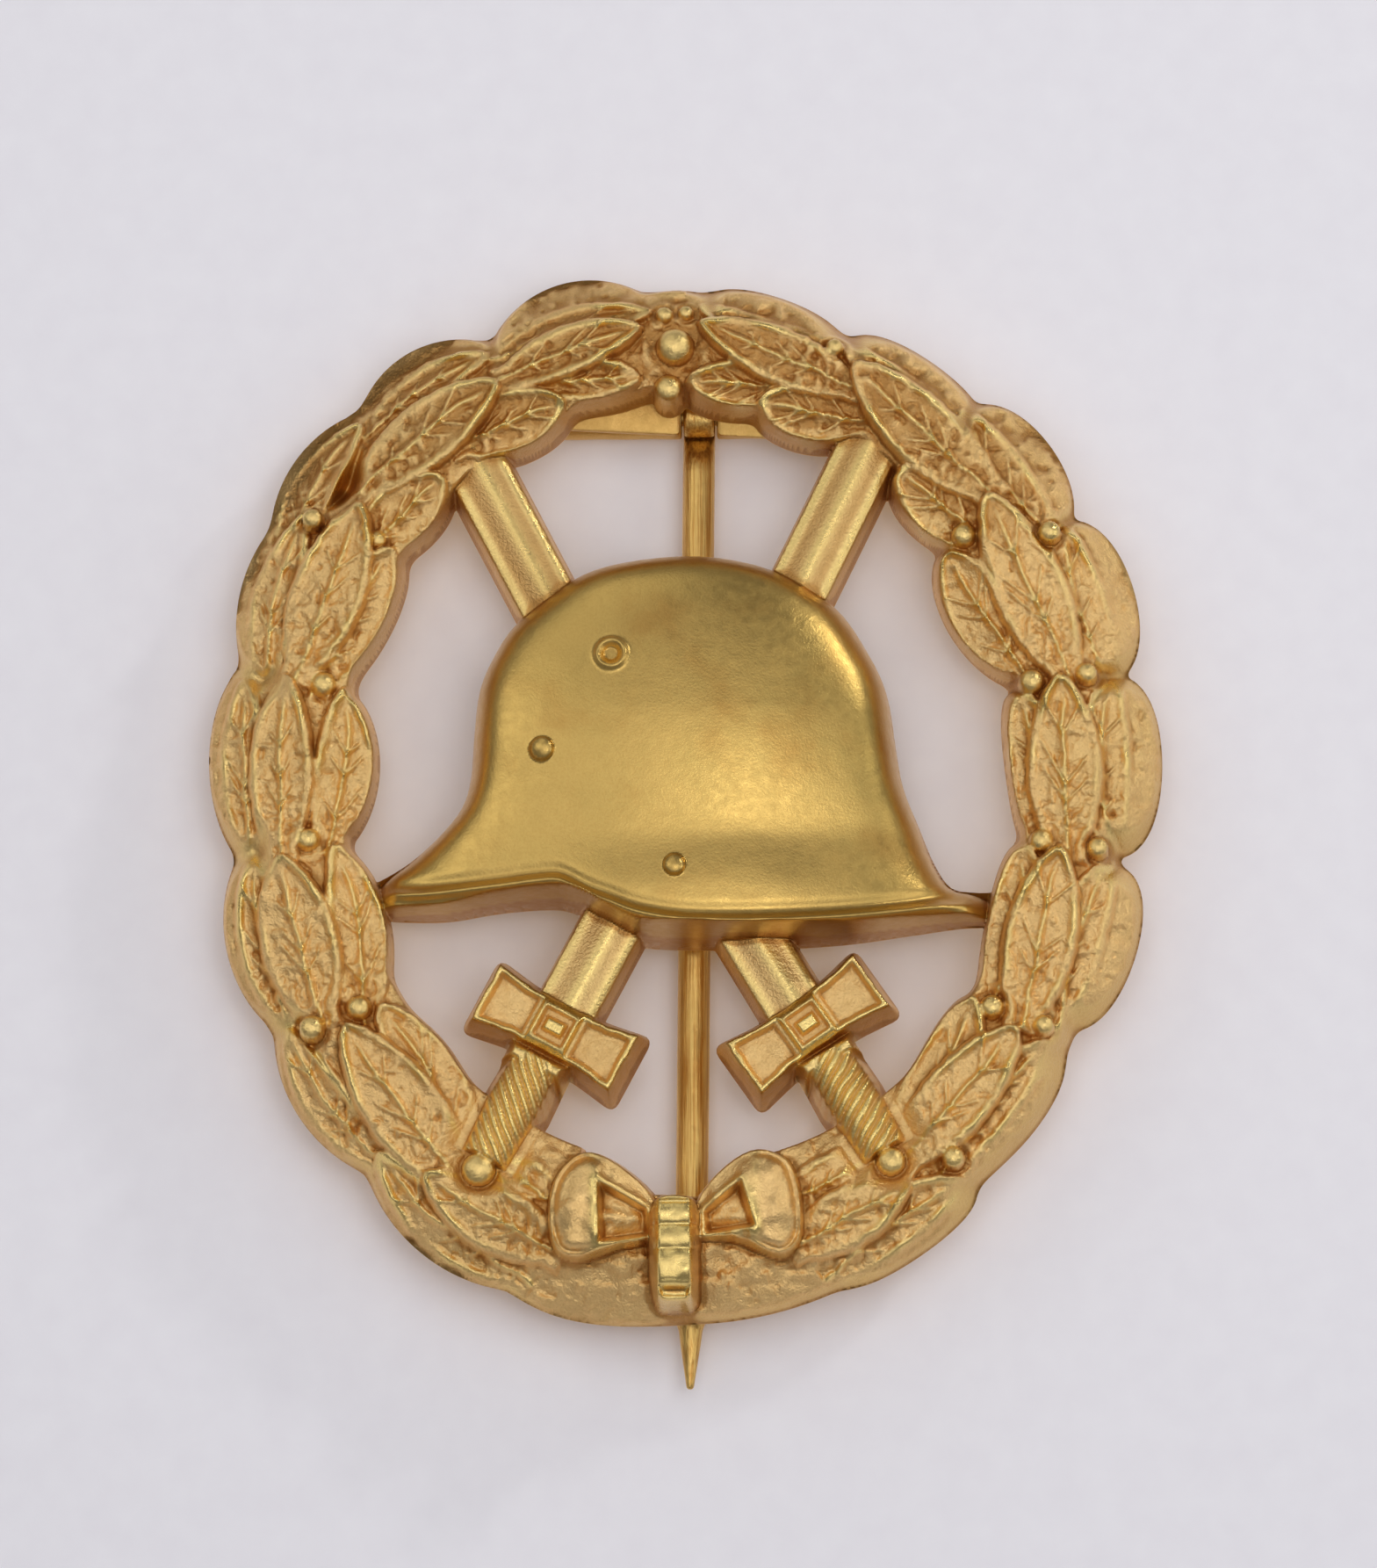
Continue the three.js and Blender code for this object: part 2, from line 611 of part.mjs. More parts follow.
const face = new THREE.Group();
const room = wreathRoom();
const branches = [
  { name: 'laurel_branch_left', side: -1, from: -wreath.crownFrom + wreath.seam },
  { name: 'laurel_branch_right', side: 1, from: wreath.crownTo + wreath.seam },
];
branches.forEach(({ name, side, from }) => {
  const piece = branch(side, from).intersect(sector(side, from, wreath.foot)).subtract(room);
  face.add(mesh(name, piece, gilt));
});
face.add(mesh('crown_berries', crownPiece(), gilt));
face.add(mesh('helmet', helmetPiece(), burnished));
upperBlades.forEach((sword) => face.add(mesh(sword.name, upperBlade(sword), gilt)));
const bowRoom = joined(bowDomes.map(domeCutter));
hilts.forEach((sword) => face.add(mesh(sword.name, hiltPiece(sword).subtract(bowRoom), gilt)));
face.add(mesh('ribbon_bow', ribbonBow(), burnished));

face.add(mesh('hinge_plate', hingePlatePiece(), soldered));
barrels.forEach(({ name, from, to }) => {
  const barrel = mesh(name, solid(tube(hinge.barrel, hinge.bore, from, to)), wire);
  barrel.position.set(0, hinge.y, hinge.z);
  face.add(barrel);
});
const [axleFrom, axleTo] = axleEnds;
const axlePin = new THREE.CylinderGeometry(hinge.axle, hinge.axle, axleTo - axleFrom, 20)
  .rotateZ(Math.PI / 2)
  .translate((axleFrom + axleTo) / 2, 0, 0);
const axle = mesh('hinge_axle', solid(axlePin), wire);
axle.position.set(0, hinge.y, hinge.z);
face.add(axle);
face.add(mesh('catch_plate', catchPlatePiece(), soldered));
face.add(mesh('catch_hook', hookPiece(), wire));

const swing = new THREE.Group(); // turns about x at the hinge
swing.position.set(hinge.x, hinge.y, hinge.z);
swing.add(mesh('needle', needlePiece(), wire));
face.add(swing);

const badge = new THREE.Group();
face.rotation.x = Math.PI / 2;
badge.add(face);

export default badge;
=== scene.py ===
"""The looks of a pierced gilt breast badge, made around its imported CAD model.

The badge's face is one sheet of metal struck in a die. Its relief is worked out in millimetres over a
grid of points seen face on: x to the right, y up, and z out of the face. In the frame, which is in
metres, that is (x, -z, y). The relief is then cut into one closed piece for each CAD node that it
replaces. The pin fittings behind the badge are built one by one.
"""

import json
import math

import bmesh
import bpy
import numpy as np
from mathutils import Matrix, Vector


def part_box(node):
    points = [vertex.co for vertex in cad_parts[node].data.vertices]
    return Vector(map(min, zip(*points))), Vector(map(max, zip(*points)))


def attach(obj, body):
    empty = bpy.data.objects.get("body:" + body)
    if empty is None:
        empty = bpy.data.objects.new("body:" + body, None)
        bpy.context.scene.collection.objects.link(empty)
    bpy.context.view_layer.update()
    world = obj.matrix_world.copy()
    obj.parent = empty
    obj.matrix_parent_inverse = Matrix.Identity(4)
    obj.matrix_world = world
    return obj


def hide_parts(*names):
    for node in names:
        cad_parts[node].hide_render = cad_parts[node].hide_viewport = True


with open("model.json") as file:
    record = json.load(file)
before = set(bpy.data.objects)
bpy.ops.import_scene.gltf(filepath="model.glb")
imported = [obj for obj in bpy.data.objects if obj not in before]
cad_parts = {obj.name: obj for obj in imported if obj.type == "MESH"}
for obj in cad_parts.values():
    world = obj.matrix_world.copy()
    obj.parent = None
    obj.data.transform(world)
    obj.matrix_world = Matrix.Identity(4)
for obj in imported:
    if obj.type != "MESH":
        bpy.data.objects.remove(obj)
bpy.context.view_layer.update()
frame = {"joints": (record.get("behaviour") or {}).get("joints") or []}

MM = 0.001

# ------------------------------------------------------------------ the relief's grid and helpers

SPACING = 0.068  # mm between the grid's points
x_line = np.arange(-20.8, 20.8, SPACING)
y_line = np.arange(-22.9, 22.9, SPACING)
X, Y = np.meshgrid(x_line, y_line)
FAR = -9.0  # the distance given to points that are nowhere near an outline


def step(low, high, value):
    """0 below low, 1 above high, and a smooth rise between them."""
    share = np.clip((value - low) / (high - low), 0, 1)
    return share * share * (3 - 2 * share)


def line(distance, width):
    """A soft ridge of height 1 where the distance is 0."""
    return np.exp(-((distance / width) ** 2))


def soft_max(a, b, radius):
    """The larger of two fields, with the crease between them rounded."""
    blend = np.clip(0.5 + 0.5 * (a - b) / radius, 0, 1)
    return b + (a - b) * blend + radius * blend * (1 - blend)


def soft_min(a, b, radius):
    """The smaller of two fields, rounded in the same way."""
    return -soft_max(-a, -b, radius)


def noise(scale, seed, stretch=(1, 1)):
    """Smooth noise from -1 to 1 over the whole grid, with bumps about scale mm across."""
    columns = (X - x_line[0]) / (scale * stretch[0])
    rows = (Y - y_line[0]) / (scale * stretch[1])
    i, j = rows.astype(int), columns.astype(int)
    lattice = np.random.RandomState(seed).uniform(-1, 1, (i.max() + 2, j.max() + 2))
    down = step(0, 1, rows - i)
    along = step(0, 1, columns - j)
    upper = lattice[i, j] * (1 - along) + lattice[i, j + 1] * along
    lower = lattice[i + 1, j] * (1 - along) + lattice[i + 1, j + 1] * along
    return upper * (1 - down) + lower * down


def around(points, margin):
    """The window of the grid around some points, as slices for its rows and columns."""
    low = np.min(points, axis=0) - margin
    high = np.max(points, axis=0) + margin
    columns = slice(*np.searchsorted(x_line, (low[0], high[0])))
    rows = slice(*np.searchsorted(y_line, (low[1], high[1])))
    return rows, columns


def rounded(points, per_span=4, closed=True):
    """A smooth curve through some points, as more points."""
    points = np.array(points, float)
    count = len(points)
    found = []
    for i in range(count if closed else count - 1):
        nearby = range(i - 1, i + 3)
        p0, p1, p2, p3 = points[[k % count if closed else min(max(k, 0), count - 1) for k in nearby]]
        for t in np.arange(per_span) / per_span:
            bend = 2 * p0 - 5 * p1 + 4 * p2 - p3 + t * (3 * (p1 - p2) + p3 - p0)
            found.append(p1 + 0.5 * t * (p2 - p0 + t * bend))
    if not closed:
        found.append(points[-1])
    return np.array(found)


def cut_corners(outline, by):
    """An outline with every corner rounded off, starting the given distance before it."""
    outline = np.array(outline, float)
    found = []
    for i, corner in enumerate(outline):
        arms = [outline[i - 1] - corner, outline[(i + 1) % len(outline)] - corner]
        start, end = (corner + by * arm / np.linalg.norm(arm) for arm in arms)
        for t in np.linspace(0, 1, 5):
            found.append((1 - t) ** 2 * start + 2 * t * (1 - t) * corner + t**2 * end)
    return np.array(found)


def curve_distance(points, x, y):
    """How far each place is from an open curve."""
    nearest = np.full_like(x, np.inf)
    for (ax, ay), (bx, by) in zip(points[:-1], points[1:]):
        length = math.hypot(bx - ax, by - ay)
        ux, uy = (bx - ax) / length, (by - ay) / length
        along = np.clip((x - ax) * ux + (y - ay) * uy, 0, length)
        nearest = np.minimum(nearest, np.hypot(x - ax - along * ux, y - ay - along * uy))
    return nearest


def outline_distance(points, x, y):
    """How far inside an outline each place is, negative outside it."""
    closed = np.vstack([points, points[:1]])
    inside = np.zeros(x.shape, bool)
    for (ax, ay), (bx, by) in zip(closed[:-1], closed[1:]):
        if ay != by:
            crossed = (ay > y) != (by > y)
            inside ^= crossed & (x < ax + (y - ay) * (bx - ax) / (by - ay))
    distance = curve_distance(closed, x, y)
    return np.where(inside, distance, -distance)


def wall(distance, height, lean, power=1.6, climb=0.0, climb_from=0.0):
    """A side wall's height at some distance inside an outline: steep at its foot, rounded at its top.

    Past climb_from it climbs on at a slope of climb, so that it doesn't cap what stands behind it.
    """
    share = np.minimum(distance / lean, 1)
    return height * (1 - (1 - share) ** power) + climb * np.clip(distance - climb_from, 0, None)


def inside_box(x, y, half_wide, half_tall):
    """How far inside a rectangle round the middle each place is."""
    return np.minimum(half_wide - np.abs(x), half_tall - np.abs(y))


def ball(radius, reach):
    """The height of a half ball at some distance from its middle, and 0 outside it."""
    return np.sqrt(np.clip(radius**2 - reach**2, 0, None))


class Part:
    """One raised part of the sheet: its outline, height, polish and how much darker it is painted, over the
    grid; on the helmet and in the bow's dent that is painted shade.
    """

    def __init__(self):
        self.inside = np.full_like(X, FAR)
        self.height = np.full_like(X, FAR)
        self.polish = np.zeros_like(X)
        self.tone = np.zeros_like(X)


# ------------------------------------------------------------------ laurel wreath

WREATH = {
    "inner": (14.35, 16.4),  # half axes of the opening, behind the leaves
    "inner_centre": 0.75,  # the opening is this far above the wreath's centre
    "outer": (18.25, 21.4),  # half axes of the wreath's edge, behind the leaves
    "outer_foot": 22.25,  # the upright half axis below the middle
    # How far the edge swells out beside each outer leaf, from the crown down, and past the leaf's ends.
    "swell_left": ([1.35, 0.9, 0.2, 0.65, 0.55, 0.6, 0.3, 0.3], 0.75),
    "swell_right": ([1.4, 1.3, 1.5, 1.3, 1.4, 1.4, 0.95, 0.55], 0.3),
    # The same for every leaf of the other rows.
    "swell_middle": (1.0, 0.9),
    "swell_inner": (0.3, 0.3),
    # The edge also swells round these two places, laid out as leaves are: the crown, and left of the knot.
    "more_swells": [((-2.6, 20.5), (1.5, 20.7), 0.45, 0.0), ((0.6, -21.1), (-6.8, -20.6), 0.55, 0.0)],
    "more_swell": (0.9, 0.3),
    "berry_room": 0.12,  # how far the opening's edge stays clear of a berry
    "middle": (16.3, 18.7),  # half axes of the line that the middle leaves follow
    "crest": 2.42,  # height of the bed along its highest line
    "crest_at": -0.5,  # how far outside the middle line that is
    "fall": 0.105,  # how fast the bed falls away to both sides of it
    # Height, lean, power and climb of the opening's wall, then of the smooth outer flanks.
    "inner_wall": (2.5, 0.26, 1.6, 1.0),
    "flank_left": (2.3, 0.868, 1.7, 1.5),
    "flank_right": (2.3, 1.19, 1.7, 1.5),
    "darken": (0.7, 7, 16),  # how much darker the wreath is painted towards its top, and the heights between which that sets in
    # The bed is pierced down to the knot, between the loops of the bow.
    "bay": [(-4.2, -13.2), (-4.2, -15.2), (-2.8, -15.6), (-1.5, -16.9), (-0.45, -16.9), (0.4, -17.0),
            (1.6, -15.8), (3.0, -15.0), (3.0, -13.2)],
}
LEAF = {
    "lift": {"outer": -0.1, "inner": 0.0, "middle": 0.28},  # how far a leaf's base stands above the bed
    "widen": {"outer": 1.05, "inner": 1.28, "middle": 1.1},
    "tip_lift": 0.4,
    "rim": 0.3,
    "rim_at": 0.2,  # how far the raised rim is inside the leaf's edge
    "rim_width": 0.18,
    "midrib": 0.24,
    "midrib_width": 0.14,
    "twig": 0.14,  # the side veins, which branch off like twigs
    "twig_width": 0.09,
    "twig_pairs": 3,
    "crumple": 0.25,
    "dish": 0.2,
}
BERRY = {"grow": 1.1, "dome": 0.9, "polish": 0.6}

# Each leaf, from the crown down: its tip, its base, its greatest half width and how far it bows.
LEFT_LEAVES = {
    "outer": [
        ((-1.5, 20.6), (-7.8, 18.8), 0.85, 0.45),
        ((-8.4, 18.9), (-13.3, 15.6), 0.95, 0.4),
        ((-13.8, 16.1), (-16.9, 10.2), 1.15, 0.5),
        ((-16.1, 12.1), (-17.7, 5.0), 1.05, 0.35),
        ((-18.5, 5.1), (-18.2, -2.3), 1.0, 0.25),
        ((-18.1, -2.5), (-16.8, -9.3), 1.0, 0.35),
        ((-16.7, -9.6), (-12.8, -15.5), 0.95, 0.5),
        ((-12.9, -15.2), (-7.0, -20.2), 1.1, 0.5),
    ],
    "inner": [
        ((-1.9, 17.6), (-5.9, 17.4), 0.75, 0.05),
        ((-5.1, 16.6), (-9.5, 14.9), 1.1, 0.0),
        ((-10.2, 13.4), (-13.5, 10.3), 1.1, 0.0),
        ((-12.3, 10.3), (-15.4, 4.6), 1.15, 0.1),
        ((-14.3, 4.3), (-14.9, -2.2), 1.0, -0.35),
        ((-14.6, -2.3), (-13.4, -9.3), 1.0, -0.35),
        ((-12.7, -9.1), (-9.3, -15.2), 1.1, -0.35),
        ((-8.0, -15.6), (-5.2, -17.6), 0.8, 0.0),
    ],
    "middle": [
        ((-1.9, 19.8), (-7.5, 17.7), 1.0, 0.2),
        ((-7.9, 17.5), (-13.4, 13.2), 1.3, 0.15),
        ((-13.7, 12.3), (-16.1, 5.3), 1.4, 0.0),
        ((-16.8, 4.9), (-16.9, -2.4), 1.2, 0.1),
        ((-17.0, -2.8), (-15.3, -9.4), 1.45, 0.05),
        ((-14.2, -10.0), (-9.4, -16.4), 1.45, 0.1),
        ((-10.9, -16.2), (-5.6, -19.3), 1.2, 0.1),
    ],
}
RIGHT_LEAVES = {
    "outer": [
        ((0.6, 20.9), (6.4, 18.8), 0.85, -0.45),
        ((6.7, 19.2), (12.1, 15.3), 0.95, -0.45),
        ((11.7, 16.3), (15.3, 10.9), 1.25, -0.35),
        ((15.8, 11.5), (17.6, 5.0), 1.3, -0.35),
        ((17.9, 4.9), (17.8, -2.4), 1.15, -0.4),
        ((17.8, -3.1), (15.6, -9.6), 1.15, -0.4),
        ((15.2, -10.7), (10.9, -15.9), 1.05, -0.3),
        ((11.7, -16.5), (6.3, -20.2), 1.1, -0.35),
    ],
    "inner": [
        ((0.05, 17.4), (4.4, 17.2), 0.85, 0.0),
        ((3.1, 16.5), (7.5, 15.7), 1.05, 0.0),
        ((8.9, 13.6), (12.5, 10.6), 1.15, 0.0),
        ((10.9, 10.2), (14.3, 4.9), 1.15, -0.15),
        ((13.9, 4.2), (14.7, -2.2), 1.0, 0.4),
        ((14.1, -2.3), (12.8, -9.1), 1.05, 0.35),
        ((12.0, -8.8), (8.9, -14.7), 1.1, 0.35),
        ((8.0, -15.3), (4.3, -17.4), 0.85, 0.1),
    ],
    "middle": [
        ((0.6, 20.0), (6.8, 17.3), 1.1, 0.0),
        ((7.1, 18.2), (12.6, 12.8), 1.35, -0.1),
        ((12.7, 12.5), (15.9, 5.1), 1.4, 0.0),
        ((15.7, 4.7), (15.9, -2.5), 1.4, 0.05),
        ((15.6, -2.6), (14.1, -9.6), 1.35, 0.0),
        ((13.8, -10.2), (9.2, -15.5), 1.3, 0.0),
        ((9.3, -16.6), (4.8, -19.2), 1.1, 0.0),
    ],
}
# Berries: centre, radius and how high they stand.
BERRIES = [
    (-0.44, 18.9, 0.72, 2.75), (-0.72, 17.1, 0.56, 2.55), (-0.9, 20.4, 0.34, 2.1), (0.0, 20.5, 0.3, 2.05),
    (-15.7, 11.6, 0.42, 2.5), (-13.0, 10.7, 0.4, 2.35), (-15.2, 4.5, 0.5, 2.45),
    (-15.8, -2.1, 0.45, 2.5), (-15.56, -10.1, 0.5, 2.65), (-13.6, -9.25, 0.47, 2.6),
    (6.3, 18.9, 0.35, 2.4), (11.7, 10.75, 0.47, 2.5), (15.3, 10.85, 0.45, 2.6),
    (14.5, 4.45, 0.5, 2.6), (16.8, 4.8, 0.42, 2.55), (14.85, -2.3, 0.47, 2.55),
    (17.2, -2.6, 0.42, 2.45), (12.75, -9.3, 0.47, 2.5), (14.9, -10.1, 0.4, 2.6),
    (11.1, -15.6, 0.45, 2.5),
]

UNEVEN = noise(1.1, 50)  # how the strength of a ridge wanders along it
UNEVEN_FINE = noise(0.4, 51)
CREASES = noise(0.5, 52, (0.8, 1.3)) + 0.35 * noise(0.22, 53)


def oval_distance(half_axes, centre=0.0):
    """How far outside an upright oval each point of the grid is."""
    y = Y - centre
    reach = np.hypot(X / half_axes[0], y / half_axes[1])
    return (reach - 1) * np.hypot(X, y) / np.maximum(reach, 1e-6)


def leaf_axes(tip, base, bow, margin):
    """A window round a leaf, and there how far along it (0 to 1) and off its bowed midrib each point is."""
    tip, base = np.array(tip), np.array(base)
    length = math.hypot(*(tip - base))
    ux, uy = (tip - base) / length
    where = around([tip, base], margin)
    x, y = X[where] - base[0], Y[where] - base[1]
    share = (x * ux + y * uy) / length
    within = np.clip(share, 0, 1)
    side = -1 if base[0] < 0 else 1
    off = y * ux - x * uy + side * bow * 4 * within * (1 - within)
    return where, length, share, off


def swell(edge, leaf, grow, longer, blend=0.3):
    """Pushes an edge out in an oval scallop round a leaf."""
    tip, base, half, bow = leaf
    where, length, share, off = leaf_axes(tip, base, bow, half + 3.0)
    reach = np.hypot((share - 0.5) / (0.5 + longer / length), off / (half + grow))
    edge[where] = soft_max(edge[where], (1 - reach) * (half + grow), blend)


def twigs_of(length, half, share, off, seed):
    """The side veins of a leaf, in slanting pairs that are a little uneven."""
    spread = np.abs(off)
    found = np.zeros_like(off)
    for k in range(LEAF["twig_pairs"]):
        for side in (-1, 1):
            chance = math.sin(12.9 * seed + 78.2 * k + 37.7 * side)
            start = (0.2 + 0.2 * k + 0.05 * chance) * length
            lean = 1.5 + 0.5 * math.sin(5.1 * seed + k + side)
            reach = (0.35 + 0.4 * abs(chance)) * half
            from_twig = share * length - start - lean * spread
            shown = step(reach, 0.6 * reach, spread) * (side * off > 0)
            found = np.maximum(found, line(from_twig / lean, LEAF["twig_width"]) * shown)
    return found


def lay_leaf(relief, bed, leaf, row, seed):
    """Lays one leaf over the wreath's relief."""
    tip, base, half, bow = leaf
    half = half * LEAF["widen"][row]
    where, length, share, off = leaf_axes(tip, base, bow, half + 0.4)
    within = np.clip(share, 0, 1)
    width = half * np.sin(math.pi * (0.1 + 0.9 * within)) ** 0.62
    ends = np.minimum(1 - share, share + 0.1) * length
    edge = np.minimum(width - np.abs(off), ends) + 0.04 * UNEVEN_FINE[where]
    wander = np.clip(0.75 + 0.65 * UNEVEN[where], 0.15, 1.3) * (0.3 + 0.7 * within)
    rim = line(edge - LEAF["rim_at"], LEAF["rim_width"]) * wander
    midrib = line(off + 0.1 * UNEVEN[where], LEAF["midrib_width"]) * step(0.97, 0.75, within)
    twigs = twigs_of(length, half, share, off, seed)
    top = bed[where] + (LEAF["lift"][row] + LEAF["tip_lift"] * within ** 1.5)
    top -= LEAF["dish"] * np.clip(1 - (off / np.maximum(width, 0.1)) ** 2, 0, 1)
    top += LEAF["rim"] * rim + LEAF["midrib"] * midrib + LEAF["twig"] * twigs
    crumple = np.abs(CREASES[where]) ** 0.6 - 0.6
    top += LEAF["crumple"] * crumple * step(0.7, 0.1, within) * (1 - 0.6 * line(edge - LEAF["rim_at"], 0.2))
    cover = step(-0.16, 0.03, edge)
    relief.height[where] += cover * (top - relief.height[where])
    bright = line(edge - LEAF["rim_at"], 0.2) * wander + 0.6 * midrib + 0.4 * twigs
    relief.polish[where] += cover * (np.clip(bright, 0, 1) - relief.polish[where])


def lay_berry(relief, x, y, radius, level):
    """Lays one berry over the relief: a dome in a faint ring-shaped groove."""
    radius = BERRY["grow"] * radius
    where = around([(x, y)], 3 * radius)
    reach = np.hypot(X[where] - x, Y[where] - y)
    dome = level + BERRY["dome"] * ball(radius, reach) - 0.25 * radius
    height = relief.height[where] - 0.04 * line(reach - 1.15 * radius, 0.3 * radius)
    height += 0.08 * line(reach - 1.7 * radius, 0.3 * radius)
    on = step(1.04 * radius, 0.92 * radius, reach)
    relief.height[where] = height + on * (np.maximum(dome, height) - height)
    relief.polish[where] = np.maximum(relief.polish[where], BERRY["polish"] * on)


def bed_wall(distance, name):
    """One of the wreath's walls, at some distance inside its edge."""
    height, lean, power, climb = WREATH[name]
    return wall(distance, height, lean, power, climb, 0.8 * lean)


def wreath():
    """The two branches in one: a bed pierced by the opening, and the leaves and berries over it."""
    part = Part()
    half_wide, half_tall = WREATH["outer"]
    outer = -oval_distance((half_wide, np.where(Y > 0, half_tall, WREATH["outer_foot"])))
    inner = oval_distance(WREATH["inner"], WREATH["inner_centre"])
    for leaves, side in ((LEFT_LEAVES, "swell_left"), (RIGHT_LEAVES, "swell_right")):
        grows, longer = WREATH[side]
        for leaf, grow in zip(leaves["outer"], grows):
            swell(outer, leaf, grow, longer)
        for leaf in leaves["middle"]:
            swell(outer, leaf, *WREATH["swell_middle"])
        for leaf in leaves["inner"]:
            swell(inner, leaf, *WREATH["swell_inner"])
    for place in WREATH["more_swells"]:
        swell(outer, place, *WREATH["more_swell"], 0.4)
    for x, y, radius, _ in BERRIES:
        inner = soft_max(inner, radius + WREATH["berry_room"] - np.hypot(X - x, Y - y), 0.2)
    inner = soft_min(inner, -outline_distance(np.array(WREATH["bay"]), X, Y), 0.1)
    part.inside = np.minimum(outer, inner)

    across = oval_distance(WREATH["middle"])
    bed = WREATH["crest"] - WREATH["fall"] * (across - WREATH["crest_at"]) ** 2
    part.height = bed + 0.1 * noise(0.8, 1) + 0.06 * noise(0.35, 2) - 0.1
    seed = 0
    for leaves in (LEFT_LEAVES, RIGHT_LEAVES):
        for row in ("outer", "inner", "middle"):
            for leaf in leaves[row]:
                seed += 1
                lay_leaf(part, bed, leaf, row, seed)
    foot = step(-15.5, -18.5, Y) * (1 - line(across - 3, 0.8))
    part.height += foot * (0.16 * noise(1.1, 5, (1.6, 0.7)) + 0.1 * noise(0.5, 6, (1.5, 0.7)))
    # The chipped and pitted ground between the ridges.
    chips = np.clip(noise(0.42, 7) - 0.4, 0, 1) - np.clip(noise(0.3, 8) - 0.45, 0, 1)
    part.height += (1 - part.polish) * (0.035 * noise(0.28, 9) + 0.2 * chips)

    part.height = soft_min(part.height, bed_wall(inner, "inner_wall"), 0.12)
    slope = np.where(X < 0, bed_wall(outer, "flank_left"), bed_wall(outer, "flank_right"))
    on_flank = step(-0.15, 0.2, part.height - slope)
    part.height = soft_min(part.height, slope + 0.04 * noise(1.3, 10), 0.2)
    part.polish = np.maximum(part.polish, 0.5 * on_flank)
    for berry in BERRIES:
        lay_berry(part, *berry)
    # The wreath is painted darker towards its top.
    strength, low, high = WREATH["darken"]
    part.tone = strength * step(low, high, Y)
    return part


# ------------------------------------------------------------------ helmet

HELMET = {
    # The upper edge, from the left tip over the dome to the right tip.
    "upper": [
        (-13.7, -3.75), (-12.9, -3.5), (-11.6, -2.7), (-10.4, -1.6), (-9.5, -0.5), (-9.1, 0.8), (-8.95, 2.8),
        (-8.75, 4.5), (-8.2, 5.9), (-7.2, 7.4), (-4.9, 9.2), (-2.7, 9.95), (0.6, 10.2),
        (3.7, 9.6), (6.25, 8.1), (7.7, 6.05), (8.45, 4.3), (8.8, 2.1), (9.1, 0.4),
        (9.75, -1.3), (10.4, -2.9), (11.1, -3.9), (12.1, -4.1), (12.8, -4.1),
    ],
    # The lower edge at the back rim, from the right tip to the left one.
    "lower": [
        (12.8, -5.6), (12.1, -5.6), (11.3, -5.65), (9.2, -5.95), (6.6, -6.3), (3.2, -6.5), (0.7, -6.5),
        (-1.9, -6.35), (-3.5, -5.6), (-4.5, -5.0), (-5.6, -4.75), (-7.8, -4.9), (-10, -5.25),
        (-12.0, -5.25), (-12.9, -5.15), (-13.7, -5.1),
    ],
    # The rolled bead of the brim.
    "brim": [
        (-13.7, -4.5), (-11, -4.7), (-8, -4.5), (-6.5, -4.35), (-5.4, -4.3), (-4.8, -4.5),
        (-4.0, -4.95), (-3.0, -5.35), (-2.0, -5.75), (-0.5, -6.05), (1, -6.15), (3, -6.13),
        (5, -6.02), (7, -5.83), (9, -5.55), (10.5, -5.3), (12.8, -5.1),
    ],
    "crown": 4.85,
    "shoulder": 8.5,  # how far in from its edge the dome is still curved
    "drops": (2.2, 0.8, 0.4),  # how far it drops there: at the very edge, close to it, and all the way
    "side_drop": 1.14,  # the face's middle stands this far above its far left and right
    "lean_back": 0.1,  # slope of its upper half
    "waist": (3.2, -2.0, 0.5),  # where the face starts to slope in, its crease, and how deep that is
    "flare": (-2.0, -4.6, 0.25),  # where the skirt below it starts, where it is widest, and by how much
    "bead": 0.42,
    "tips_dive": 1.5,  # how far the brim's two ends sink into the wreath
    # Height, lean, power and climb of its walls, and where they start to climb.
    "foot_wall": (4.7, 0.5, 1.12, 2.5, 0.42),
    "top_wall": (3.2, 0.35, 1.2, 3.0, 0.32),
    "rivets": [(-5.95, 1.4, 0.55), (-0.4, -3.6, 0.5)],  # centre and radius
    "lug": (-3.05, 5.4, 0.57),
}


def helmet_face(x, y, from_top, tips):
    """The smooth front of the dome and its skirt, without its bead."""
    share = 1 - np.clip(from_top / HELMET["shoulder"], 0, 1)
    edge_drop, near_drop, long_drop = HELMET["drops"]
    drop = edge_drop * np.exp(-np.maximum(from_top, -0.6) / 0.3)
    drop += near_drop * np.exp(-np.maximum(from_top, 0) / 1.1) + long_drop * share**2
    # The lower half slopes in down to a crease, which is sharper on the right.
    start, crease, depth = HELMET["waist"]
    down = soft_min((start - y) / (start - crease), 1, 0.1 + 0.35 * step(2.5, -3.0, x))
    face = HELMET["crown"] - drop - depth * np.clip(down, 0, None) ** 1.5 - 0.4 * tips
    face -= HELMET["side_drop"] * (1 - np.exp(-x**2 / 60))
    face -= HELMET["lean_back"] * soft_max(y - 2.5, 0, 3.0)
    start, widest, flare = HELMET["flare"]
    return face + flare * step(start, widest, y) * step(8.5, 3.0, np.abs(x - 1))


